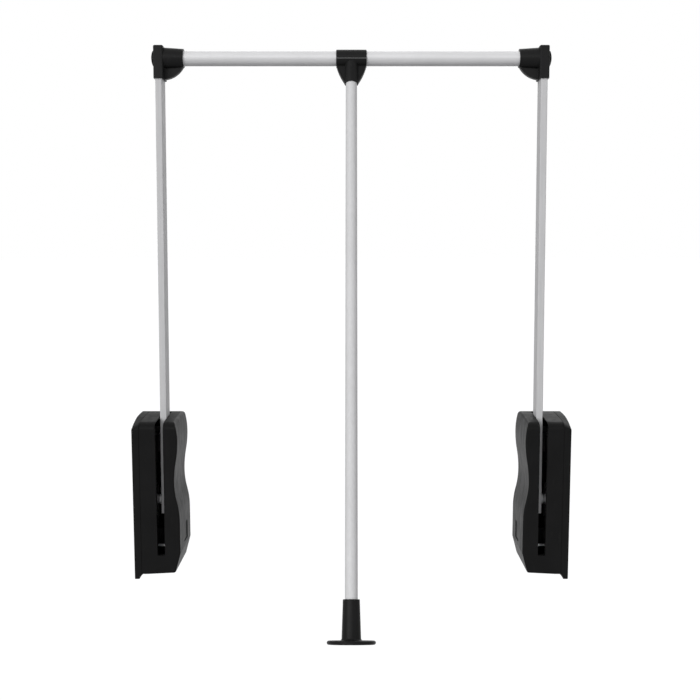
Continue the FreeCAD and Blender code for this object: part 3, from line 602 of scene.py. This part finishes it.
class Growth(Wiring):
    """A Geometry Nodes tree under construction, with named inputs for its sizes."""

    def __init__(self, name: str) -> None:
        """Start a tree with only a geometry output and a material input.

        Args:
            name: name of the tree.
        """
        super().__init__(bpy.data.node_groups.new(name, "GeometryNodeTree"))
        self.tree.interface.new_socket("Geometry", in_out="OUTPUT", socket_type="NodeSocketGeometry")
        self.entry = self.node("NodeGroupInput")
        self.identifiers: dict[str, str] = {}
        self.finish = self.sizes(Finish="Material")["Finish"]

    def sizes(self, **kinds: str) -> dict[str, NodeSocket]:
        """Add named inputs.

        Args:
            **kinds: the kind of each, by its name.

        Returns:
            The sockets that give their values inside the tree, by name.
        """
        for name, kind in kinds.items():
            item = self.tree.interface.new_socket(name, in_out="INPUT", socket_type="NodeSocket" + kind)
            self.identifiers[name] = item.identifier
        return {name: self.entry.outputs[name] for name in kinds}

    def close(self, geometry: Node) -> None:
        """End the tree: shade smoothly, make instances real, set the material.

        Args:
            geometry: the node that gives what the tree has made.
        """
        smooth = self.node("GeometryNodeSetShadeSmooth", {"Geometry": geometry})
        real = self.node("GeometryNodeRealizeInstances", {"Geometry": smooth})
        dressed = self.node("GeometryNodeSetMaterial", {"Geometry": real, "Material": self.finish})
        self.node("NodeGroupOutput", {"Geometry": dressed})

    def grown(self, name: str, **values: object) -> Object:
        """Run the tree and keep its result as a plain mesh.

        Args:
            name: name of the piece.
            **values: the inputs' values, by name.

        Returns:
            The piece, without modifiers.
        """
        seedling = into_scene("seedling", bpy.data.meshes.new("seedling"))
        growing = seedling.modifiers.new("growing", "NODES")
        growing.node_group = self.tree
        for key, value in values.items():
            growing[self.identifiers[key]] = value
        scene_graph = bpy.context.evaluated_depsgraph_get()
        mesh = bpy.data.meshes.new_from_object(seedling.evaluated_get(scene_graph))
        mesh.name = name
        seedling.modifiers.remove(growing)
        bpy.data.objects.remove(seedling)
        return into_scene(name, mesh)


class TubeGrowth(Growth):
    """Round skin swept along a straight line; the wall's thickness is given to it afterwards."""

    sides: int = 96
    ring_pitch: float = 60 * MM

    def __init__(self) -> None:
        """Build the tree."""
        super().__init__("straight_tube")
        size = self.sizes(Start="Vector", End="Vector", Radius="Float", Sides="Int", Rings="Int")
        line = self.node("GeometryNodeCurvePrimitiveLine", {"Start": size["Start"], "End": size["End"]})
        path = self.node("GeometryNodeResampleCurve", {"Curve": line, "Count": size["Rings"]})
        round_sizes = {"Resolution": size["Sides"], "Radius": size["Radius"]}
        ring = self.node("GeometryNodeCurvePrimitiveCircle", round_sizes)
        self.close(self.node("GeometryNodeCurveToMesh", {"Curve": path, "Profile Curve": ring}))

    def drawn(
        self, name: str, start: Vector, end: Vector, radius: float, wall: float, finish: Finish
    ) -> Object:
        """Grow a tube and give it its wall and its rounded ends.

        Args:
            name: name of the piece.
            start: middle of one end.
            end: middle of the other end.
            radius: outer radius.
            wall: thickness of its wall.
            finish: its finish.

        Returns:
            The tube.
        """
        piece = self.grown(
            name,
            Finish=finish.material,
            Start=list(start),
            End=list(end),
            Radius=radius,
            Sides=self.sides,
            Rings=max(2, round((end - start).length / self.ring_pitch)),
        )
        shell = piece.modifiers.new("wall", "SOLIDIFY")
        shell.thickness = wall
        shell.offset = -1.0
        smoothed(piece, wall / 4)
        return piece

    def level(self, node: str, wall: float) -> Object:
        """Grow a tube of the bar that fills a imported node's box from end to end along X.

        Args:
            node: name of the node.
            wall: thickness of the tube's wall.

        Returns:
            The tube.
        """
        low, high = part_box(node)
        middle = (low + high) / 2
        start, end = (Vector((x, middle.y, middle.z)) for x in (low.x, high.x))
        return self.drawn(node + "_drawn", start, end, (high.z - low.z) / 2, wall, Finish.TUBE)


class ScrewGrowth(Growth):
    """Rows of low screw heads, each with a hexagonal socket, standing on a plane."""

    rounding: float = 0.15 * MM

    def __init__(self) -> None:
        """Build the tree."""
        super().__init__("screw_rows")
        size = self.sizes(
            Radius="Float", Height="Float", Across="Float", Down="Float", Pitch="Vector", Rise="Vector",
            Columns="Int", Rows="Int", Place="Vector", Turn="Rotation",
        )
        height = size["Height"]
        head_sizes = {"Vertices": 32, "Radius": size["Radius"], "Depth": height}
        head = self.node("GeometryNodeMeshCylinder", head_sizes)
        key_sizes = {"Vertices": 6, "Radius": size["Across"], "Depth": size["Down"]}
        key = self.node("GeometryNodeMeshCylinder", key_sizes)
        half = self.node("ShaderNodeMath", {0: height, 1: 0.5}, operation="MULTIPLY")
        cut = self.node(
            "GeometryNodeMeshBoolean",
            {"Mesh 1": self.lifted(head, half), "Mesh 2": self.lifted(key, height)},
            operation="DIFFERENCE",
        )
        column = self.node("GeometryNodeMeshLine", {"Count": size["Columns"], "Offset": size["Pitch"]})
        row = self.node("GeometryNodeMeshLine", {"Count": size["Rows"], "Offset": size["Rise"]})
        spread = self.node("GeometryNodeInstanceOnPoints", {"Points": column, "Instance": row})
        places = self.node("GeometryNodeRealizeInstances", {"Geometry": spread})
        standing = {"Points": places, "Instance": cut, "Rotation": size["Turn"]}
        heads = self.node("GeometryNodeInstanceOnPoints", standing)
        self.close(self.node("GeometryNodeTransform", {"Geometry": heads, "Translation": size["Place"]}))

    def lifted(self, form: Node, rise: Feed) -> Node:
        """A form moved up inside the tree."""
        shift = self.node("ShaderNodeCombineXYZ", {"Z": rise})
        return self.node("GeometryNodeTransform", {"Geometry": form, "Translation": shift})

    def heads(
        self, name: str, radius: float, height: float, place: Iterable[float], turn: Point,
        grid: Pair = (0.0, 0.0),
    ) -> Object:
        """Grow one screw head, or four on a grid across Y and Z.

        Args:
            name: name of the piece.
            radius: radius of a head.
            height: height of a head.
            place: middle of the first head's foot.
            turn: angles round X, Y and Z that point a head out of the sheet.
            grid: distance between the columns and between the rows; 0 for a single one.

        Returns:
            The heads.
        """
        across, up = grid
        piece = self.grown(
            name,
            Finish=Finish.SCREW.material,
            Radius=radius,
            Height=height,
            Across=radius / 2,
            Down=height,
            Pitch=[0.0, across, 0.0],
            Rise=[0.0, 0.0, up],
            Columns=2 if across else 1,
            Rows=2 if up else 1,
            Place=list(place),
            Turn=list(turn),
        )
        smoothed(piece, self.rounding)
        return piece


# -------- sub-assemblies


def dress(node: str, finish: Finish) -> None:
    """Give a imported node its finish."""
    frame["nodes"][node].material_slots[0].material = finish.material
    LOG.info("%s: %s", node, finish.material.name)


def seat(piece: Object, body: str, finish: Finish, node: str = "") -> None:
    """Dress a new piece and fix it to its body.

    Args:
        piece: the piece.
        body: the body that it rides on.
        finish: its finish.
        node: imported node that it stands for, if any.
    """
    piece.data.materials.clear()
    piece.data.materials.append(finish.material)
    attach(piece, body)
    if node:
        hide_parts(node)
    LOG.info("%s on %s: %s, %d faces", piece.name, body, finish.material.name, len(piece.data.polygons))


@dataclass
class SideHousing:
    """Wall housing of one side with the mechanism inside it."""

    side: Side
    screws: ScrewGrowth
    cover_rounding: float = 0.35 * MM
    base_rounding: float = 0.4 * MM
    chassis_rounding: float = 0.3 * MM
    screw_radius: float = 3.2 * MM
    screw_height: float = 1.6 * MM
    screw_rows: Pair = (-28 * MM, 116 * MM)
    screw_columns: Pair = (-12 * MM, 20 * MM)
    sheet: float = 2.5 * MM
    flange: float = 12 * MM
    corner_radius: float = 14.5 * MM
    brow_start: float = 16 * MM
    brow_cuts: int = 12
    brow_fall: float = 0.28
    wall_hole: Pair = (-41 * MM, 129 * MM)
    wall_hole_radius: float = 2.65 * MM
    wall_hole_drop: float = 1 * MM

    def build(self) -> None:
        """Make and dress everything on this side's housing body."""
        self.shells()
        self.mechanism()
        self.chassis_screws()

    @cached_property
    def brow(self) -> tuple[float, float, float]:
        """Height where the top's front begins to fall away, Y of the front, and length of the fall."""
        low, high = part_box(self.side.node("base"))
        return high.z - self.corner_radius, low.y, self.brow_start - low.y

    def shells(self) -> None:
        """Cover, base and chassis, whose top's front falls away, with rounded edges."""
        foot, front, length = self.brow
        step = length / self.brow_cuts
        cuts = [front + step * cut for cut in range(1, self.brow_cuts + 1)]
        for part, ending, rounding, slot, finish in (
            ("cover", "_moulding", self.cover_rounding, "shell_black", Finish.SHELL),
            ("base", "_moulding", self.base_rounding, "shell_black", Finish.SHELL),
            # The chassis finish is dark partly as painted shade inside the housing.
            ("chassis", "_folded", self.chassis_rounding, "chassis_steel", Finish.CHASSIS),
        ):
            node = self.side.node(part)
            piece = refined(node, ending, rounding, self.fallen, foot, cuts)
            seat(piece, self.side.node("housing"), finish, node)

    def fallen(self, corner: Vector) -> Vector:
        """Place of a corner with the top's front falling away; the screw hole there stays round.

        Args:
            corner: its place.

        Returns:
            Its new place.
        """
        foot, front, length = self.brow
        if math.dist(corner.yz, self.wall_hole) < self.wall_hole_radius:
            corner.z -= self.wall_hole_drop
        elif corner.z > foot and corner.y < self.brow_start:
            reach = min(1.0, (self.brow_start - corner.y) / length)
            short = max(0.0, self.corner_radius - (corner.y - front))
            arched = math.sqrt(max(self.corner_radius**2 - short**2, MERGE))
            inner = 1.0 - self.brow_fall * reach
            outer = min(inner, self.corner_radius * (1.0 - reach * reach) / arched)
            share = min(1.0, self.side.depth(corner.x) / self.flange)
            corner.z = foot + (corner.z - foot) * (outer + (inner - outer) * share)
        return corner

    def mechanism(self) -> None:
        """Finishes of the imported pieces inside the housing."""
        finishes = {
            Finish.BRIGHT: ("pivot_pin", "spring_rod", "damper_rod"),
            # The cross pin's pale plated tone is partly a painted highlight.
            Finish.PLATED_AND_PAINTED_GLINT: ("cross_pin",),
            Finish.RUBBER: ("stop_bumper",),
            # The dark guide, rack and cylinder finishes are partly painted shade inside the housing.
            Finish.GUIDE_DARK_AND_SHADE: ("rack_guides", "spring_rack", "damper_rack"),
            Finish.CYLINDER_DARK_AND_SHADE: ("spring_cylinder", "damper_cylinder"),
        }
        for finish, parts in finishes.items():
            for part in parts:
                dress(self.side.node(part), finish)

    def chassis_screws(self) -> None:
        """Screws that hold the chassis to the base."""
        low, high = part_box(self.side.node("chassis"))
        wall_side = low.x if self.side is Side.LEFT else high.x
        first_y, last_y = self.screw_columns
        first_z, last_z = self.screw_rows
        piece = self.screws.heads(
            self.side.node("chassis_screws"),
            self.screw_radius,
            self.screw_height,
            place=(wall_side + self.side.inwards * self.sheet, first_y, first_z),
            turn=(0.0, self.side.inwards * QUARTER_TURN, 0.0),
            grid=(last_y - first_y, last_z - first_z),
        )
        seat(piece, self.side.node("housing"), Finish.SCREW)


@dataclass
class SwingArm:
    """Arm of one side with its hub, corner connector, cap and its half of the hanging bar."""

    side: Side
    tubes: TubeGrowth
    profile_rounding: float = 0.2 * MM
    tail: float = 21.4 * MM
    hub_rounding: float = 0.15 * MM
    collar_start: float = 34.45 * MM
    collar_radius: float = 8.8 * MM
    connector_rounding: float = 0.5 * MM
    block_face: float = 51.9 * MM
    face_slack: float = 0.05 * MM
    mouth: float = 83 * MM
    bore_gap: float = 0.6 * MM
    moulded_radii: Pair = (16.68 * MM, 14.55 * MM)
    crowned_radii: Pair = (17.4 * MM, 15.4 * MM)
    cap_rounding: float = 0.2 * MM
    cap_rim: float = 1 * MM
    cap_groove: float = 0.35 * MM
    cap_steps: int = 16
    groove_steps: tuple[int, int] = (4, 5)
    tube_wall: float = 0.8 * MM

    def build(self) -> None:
        """Make and dress everything on this side's arm body."""
        self.profile()
        self.hub()
        self.connector()
        self.cap()
        self.bar()

    @property
    def body(self) -> str:
        """Name of this side's arm body, and of the node that is the arm itself."""
        return self.side.node("arm")

    @cached_property
    def bar_place(self) -> tuple[Vector, float]:
        """Middle of this side's half of the bar, and its radius."""
        low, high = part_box(self.side.node("tube"))
        return (low + high) / 2, (high.z - low.z) / 2

    @cached_property
    def upright(self) -> Matrix:
        """Matrix that takes the stored arm's lean away, about the swing axis."""
        axis, _ = self.bar_place
        return Matrix.Rotation(math.atan2(axis.y, axis.z), 4, "X")

    def profile(self) -> None:
        """Flat tube of the arm."""
        piece = refined(self.body, "_profile", self.profile_rounding, self.cropped)
        seat(piece, self.body, Finish.ARM, self.body)

    def cropped(self, corner: Vector) -> Vector:
        """Place of an arm's corner with the end below the pivot cut shorter.

        Args:
            corner: its place.

        Returns:
            Its new place.
        """
        local = self.upright @ corner
        local.z = max(local.z, -self.tail)
        return self.upright.inverted() @ local

    def hub(self) -> None:
        """Toothed hub, whose collar against the arm is plated; the plating's near-white tone is partly a
        painted highlight.
        """
        node = self.side.node("pinion_hub")
        piece = refined(node, "_collared", self.hub_rounding, self.collared)
        seat(piece, self.body, Finish.HUB, node)
        # The collar's plated finish is partly a painted highlight.
        piece.data.materials.append(Finish.PLATED_AND_PAINTED_GLINT.material)
        for face in piece.data.polygons:
            if self.side.depth(face.center.x) > self.collar_start:
                face.material_index = 1

    def collared(self, corner: Vector) -> Vector:
        """Place of a hub's corner with the disc beside the arm turned down to a collar.

        Args:
            corner: its place.

        Returns:
            Its new place.
        """
        radius = math.hypot(corner.y, corner.z)
        if self.side.depth(corner.x) > self.collar_start and radius > self.collar_radius:
            corner.yz *= self.collar_radius / radius
        return corner

    def connector(self) -> None:
        """Corner piece with its gusset and the bar's socket."""
        node = self.side.node("corner_connector")
        piece = refined(node, "_moulding", self.connector_rounding, self.crowned)
        seat(piece, self.body, Finish.CONNECTOR, node)

    def crowned(self, corner: Vector) -> Vector:
        """Raised place of a corner of the connector, whose socket slopes down from the block's top.

        Args:
            corner: its place.

        Returns:
            Its new place.
        """
        axis, bar_radius = self.bar_place
        local = self.upright @ corner
        bar = (self.upright @ axis).z
        depth = self.side.depth(local.x)
        up = local.z - bar
        radius = math.hypot(local.y, up)
        if depth > self.block_face - self.face_slack and radius > bar_radius + self.bore_gap and up > 0:
            along = min(1.0, (depth - self.block_face) / (self.mouth - self.block_face))
            before, after = (
                root + (rim - root) * along for root, rim in (self.moulded_radii, self.crowned_radii)
            )
            grown = 1.0 + (after / before - 1.0) * (up / radius) ** 2
            local.y *= grown
            local.z = bar + up * grown
        return self.upright.inverted() @ local

    def cap(self) -> None:
        """Crowned cap with a shallow ring groove, on the connector's outer side."""
        node = self.side.node("corner_cap")
        low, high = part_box(node)
        middle = (low + high) / 2
        radius = (high.z - low.z) / 2
        depth = high.x - low.x
        crown = depth - self.cap_rim
        dome = (radius * radius + crown * crown) / (2 * crown)
        profile = [(0.0, 0.0), (radius, 0.0), (radius, self.cap_rim)]
        for step in range(1, self.cap_steps):
            reach = radius * (1 - step / self.cap_steps)
            height = self.cap_rim + crown - dome + math.sqrt(dome * dome - reach * reach)
            if step in self.groove_steps:
                height -= self.cap_groove
            profile.append((reach, height))
        profile.append((0.0, depth))
        foot = high.x if self.side is Side.LEFT else low.x
        out = Matrix.Rotation(-self.side.inwards * QUARTER_TURN, 4, "Y")
        place = Matrix.Translation((foot, middle.y, middle.z)) @ out
        piece = turned(node + "_crowned", profile, place)
        smoothed(piece, self.cap_rounding, angle=40.0)
        seat(piece, self.body, Finish.CONNECTOR, node)

    def bar(self) -> None:
        """This side's half of the hanging bar."""
        node = self.side.node("tube")
        piece = self.tubes.level(node, self.tube_wall)
        seat(piece, self.body, Finish.TUBE, node)


@dataclass
class InnerTube:
    """Tube inside both halves of the hanging bar."""

    tubes: TubeGrowth
    wall: float = 1 * MM

    def build(self) -> None:
        """Make and dress the tube."""
        piece = self.tubes.level("inner_tube", self.wall)
        seat(piece, "left_arm", Finish.TUBE, "inner_tube")


@dataclass
class PullHandle:
    """Central joint, pull rod and flanged grip; depths run down the rod from the bar's axis."""

    tubes: TubeGrowth
    screws: ScrewGrowth
    lean: float = 21.8
    joint_rounding: float = 0.5 * MM
    socket_radius: float = 11.2 * MM
    socket_end: float = 45.55 * MM
    arch_rise: float = 2.2 * MM
    lip_radius: float = 1.2 * MM
    lip_round: float = 0.4 * MM
    lip_rounding: float = 0.1 * MM
    lip_inset: float = 0.2 * MM
    lip_sunk: float = 0.5 * MM
    lip_drop: float = 1.4 * MM
    rod_radius: float = 9 * MM
    rod_wall: float = 1.2 * MM
    rod_start: float = 16.95 * MM
    rod_end: float = 899 * MM
    grip_rounding: float = 0.15 * MM
    grip_start: float = 851 * MM
    grip_end: float = 911.8 * MM
    grip_top_radius: float = 11.9 * MM
    grip_foot_radius: float = 13.5 * MM
    mouth_gap: float = 0.05 * MM
    mouth_round: float = 0.7 * MM
    flare: float = 3.2 * MM
    flange_radius: float = 34 * MM
    flange_thickness: float = 5.6 * MM
    dish_radius: float = 22 * MM
    dish_depth: float = 0.8 * MM
    screw_depth: float = 34 * MM
    screw_sunk: float = 0.2 * MM
    screw_radius: float = 3 * MM
    screw_height: float = 1.3 * MM

    @cached_property
    def place(self) -> Matrix:
        """Matrix from the handle's own frame, in which the rod hangs along -Z, to the object's frame."""
        swing = next(joint for joint in frame["joints"] if joint["name"] == "handle_swing")
        return Matrix.Translation(swing["pos_m"]) @ Matrix.Rotation(-math.radians(self.lean), 4, "X")

    def build(self) -> None:
        """Make and dress everything on the handle body."""
        self.joint()
        self.lips()
        self.rod()
        self.grip()
        self.rod_screw()

    def joint(self) -> None:
        """Both halves of the central joint."""
        for node in ("joint_body", "joint_cap"):
            piece = refined(node, "_moulding", self.joint_rounding, self.squared)
            seat(piece, "handle", Finish.CONNECTOR, node)

    def squared(self, corner: Vector) -> Vector:
        """Place of a joint's corner with the socket's mouth cut off square.

        Args:
            corner: its place.

        Returns:
            Its new place.
        """
        local = self.place.inverted() @ corner
        if local.z < self.arch_rise - self.socket_end:
            local.z = -self.socket_end
        return self.place @ local

    def lips(self) -> None:
        """Rounded lips under the line where the halves meet, in front and behind."""
        low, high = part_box("joint_cap")
        bar = self.place.translation
        reach = (high.y - low.y) / 2 - self.lip_sunk
        length = high.x - low.x - 2 * self.lip_inset
        shoulder = self.lip_radius - self.lip_round
        profile = [(0.0, 0.0), *arc((shoulder, self.lip_round), self.lip_round, -90, 0, steps=4)]
        profile += arc((shoulder, length - self.lip_round), self.lip_round, 0, 90, steps=4)
        profile += [(0.0, length)]
        for name, side in (("front", -1.0), ("back", 1.0)):
            start = Vector((low.x + self.lip_inset, bar.y + side * reach, bar.z - self.lip_drop))
            along = Matrix.Translation(start) @ Matrix.Rotation(QUARTER_TURN, 4, "Y")
            piece = turned(f"joint_lip_{name}", profile, along, sides=24)
            smoothed(piece, self.lip_rounding, angle=60.0)
            # The lips' lighter tone is a painted highlight.
            seat(piece, "handle", Finish.LIP_PAINTED_HIGHLIGHT)

    def rod(self) -> None:
        """Pull rod."""
        start, end = (self.place @ Vector((0, 0, -depth)) for depth in (self.rod_start, self.rod_end))
        piece = self.tubes.drawn("pull_rod_drawn", start, end, self.rod_radius, self.rod_wall, Finish.ROD)
        seat(piece, "handle", Finish.ROD, "pull_rod")

    def grip(self) -> None:
        """Tapered grip that runs in a curve into its round flange, which has a full round rim."""
        bore = self.rod_radius + self.mouth_gap
        rim = self.flange_thickness / 2
        flange_top = self.grip_end - self.flange_thickness
        top = (self.grip_top_radius - self.mouth_round, self.grip_start + self.mouth_round)
        neck = (self.grip_foot_radius + self.flare, flange_top - self.flare)
        dish = (self.dish_radius - self.dish_depth, self.grip_end)
        outline = [(0.0, self.rod_end), (bore, self.rod_end), (bore, self.grip_start + self.mouth_round)]
        outline += [(bore + self.mouth_round, self.grip_start)]
        outline += arc(top, self.mouth_round, -90, 0, steps=4)
        outline += arc(neck, self.flare, 180, 90, steps=10)
        outline += arc((self.flange_radius - rim, flange_top + rim), rim, -90, 90, steps=16)
        outline += arc(dish, self.dish_depth, 0, -90, steps=4)
        outline += [(0.0, self.grip_end - self.dish_depth)]
        profile = [(radius, -depth) for radius, depth in outline]
        piece = turned("grip_turned", profile, self.place, sides=128)
        smoothed(piece, self.grip_rounding, angle=50.0)
        seat(piece, "handle", Finish.GRIP, "grip")

    def rod_screw(self) -> None:
        """Screw at the back of the joint that holds the rod."""
        piece = self.screws.heads(
            "rod_screw",
            self.screw_radius,
            self.screw_height,
            place=self.place @ Vector((0, self.socket_radius - self.screw_sunk, -self.screw_depth)),
            turn=(-QUARTER_TURN - math.radians(self.lean), 0.0, 0.0),
        )
        seat(piece, "handle", Finish.SCREW)


# -------- studio


@dataclass(frozen=True)
class Lamp:
    """A wide soft lamp so far away that it lights everything evenly."""

    name: str
    direction: Point
    level: float
    spread: float

    def hang(self) -> None:
        """Put it into the scene; a white surface that faces it gets its level."""
        data = bpy.data.lights.new(self.name, "SUN")
        data.energy = math.pi * self.level
        data.angle = math.radians(self.spread)
        lamp = into_scene(self.name, data)
        lamp.rotation_mode = "QUATERNION"
        lamp.rotation_quaternion = Vector(self.direction).to_track_quat("Z", "Y")


class Backdrop(Wiring):
    """A node tree that shows one shader and lights with another."""

    def split(self, ending: str, lit: Node, shown: Node) -> None:
        """End the tree.

        Args:
            ending: type name of its output node.
            lit: shader that lights the object.
            shown: shader that is seen, directly, mirrored or through something clear.
        """
        path = self.node("ShaderNodeLightPath")
        seen = path.outputs["Is Camera Ray"]
        for name in ("Is Glossy Ray", "Is Transmission Ray"):
            rays = {0: seen, 1: path.outputs[name]}
            seen = self.node("ShaderNodeMath", rays, operation="ADD", use_clamp=True)
        mixed = self.node("ShaderNodeMixShader", {"Fac": seen, 1: lit, 2: shown})
        self.node(ending, {"Surface": mixed})


@dataclass(frozen=True)
class Studio:
    """Camera, pale floor, plain surroundings and the lamps."""

    eye: Point = (0.35564, -1.61784, 0.43468)
    pitch_down: float = 6.47
    focal_pixels: float = 986.43
    image_pixels: float = 700.0
    centre_pixels: float = 351.8
    sensor_width: float = 36.0
    clip: Pair = (0.01, 100.0)
    floor_height: float = -0.9
    floor_reach: float = 60.0
    floor_tone: float = 0.3
    floor_shown: float = 0.5
    floor_lift: float = 0.55
    surroundings: float = 0.45
    lamps: tuple[Lamp, ...] = (
        Lamp("key", (-0.55, -0.72, 0.42), 0.68, 40.0),
        Lamp("front", (0.0, -0.95, 0.3), 0.16, 8.0),
        Lamp("fill", (0.8, -0.45, 0.4), 0.1, 60.0),
        Lamp("back", (0.35, 0.8, 0.55), 0.25, 60.0),
    )

    def build(self) -> None:
        """Set everything up."""
        self.camera()
        self.world()
        self.floor()
        for lamp in self.lamps:
            lamp.hang()
        bpy.context.scene.view_settings.view_transform = "Standard"

    def camera(self) -> None:
        """Place the camera at the viewing point."""
        data = bpy.data.cameras.new("camera")
        data.sensor_width = self.sensor_width
        data.lens = data.sensor_width * self.focal_pixels / self.image_pixels
        data.shift_x = (self.image_pixels / 2 - self.centre_pixels) / self.image_pixels
        data.clip_start, data.clip_end = self.clip
        camera = into_scene("camera", data)
        camera.location = self.eye
        camera.rotation_euler = (math.radians(90.0 - self.pitch_down), 0.0, 0.0)
        bpy.context.scene.camera = camera

    def world(self) -> None:
        """White where it shows, an even grey where it lights."""
        world = bpy.data.worlds.new("surroundings")
        world.use_nodes = True
        bpy.context.scene.world = world
        sky = Backdrop(world.node_tree)
        lit = sky.node("ShaderNodeBackground", {"Color": WHITE, "Strength": self.surroundings})
        shown = sky.node("ShaderNodeBackground", {"Color": WHITE})
        sky.split("ShaderNodeOutputWorld", lit, shown)

    def floor(self) -> None:
        """Large pale floor that keeps the object's shadow."""
        form = bmesh.new()
        for x, y in ((-1, -1), (1, -1), (1, 1), (-1, 1)):
            form.verts.new((x * self.floor_reach, y * self.floor_reach, self.floor_height))
        form.faces.new(form.verts)
        floor = formed("floor", form)
        material = bpy.data.materials.new("pale_floor")
        material.use_nodes = True
        ground = Backdrop(material.node_tree)
        lit, pale = (
            ground.node("ShaderNodeBsdfDiffuse", {"Color": (*grey(tone), 1.0)})
            for tone in (self.floor_tone, self.floor_shown)
        )
        lift = ground.node("ShaderNodeEmission", {"Strength": self.floor_lift})
        shown = ground.node("ShaderNodeAddShader", {0: pale, 1: lift})
        ground.split("ShaderNodeOutputMaterial", lit, shown)
        floor.data.materials.append(material)


def main() -> None:
    """Build everything, from the studio to the last screw."""
    logging.basicConfig(level=logging.INFO, format="%(name)s: %(message)s")
    Studio().build()
    tubes, screws = TubeGrowth(), ScrewGrowth()
    for side in Side:
        SideHousing(side, screws).build()
        SwingArm(side, tubes).build()
    InnerTube(tubes).build()
    PullHandle(tubes, screws).build()


if __name__ == "__main__":
    main()
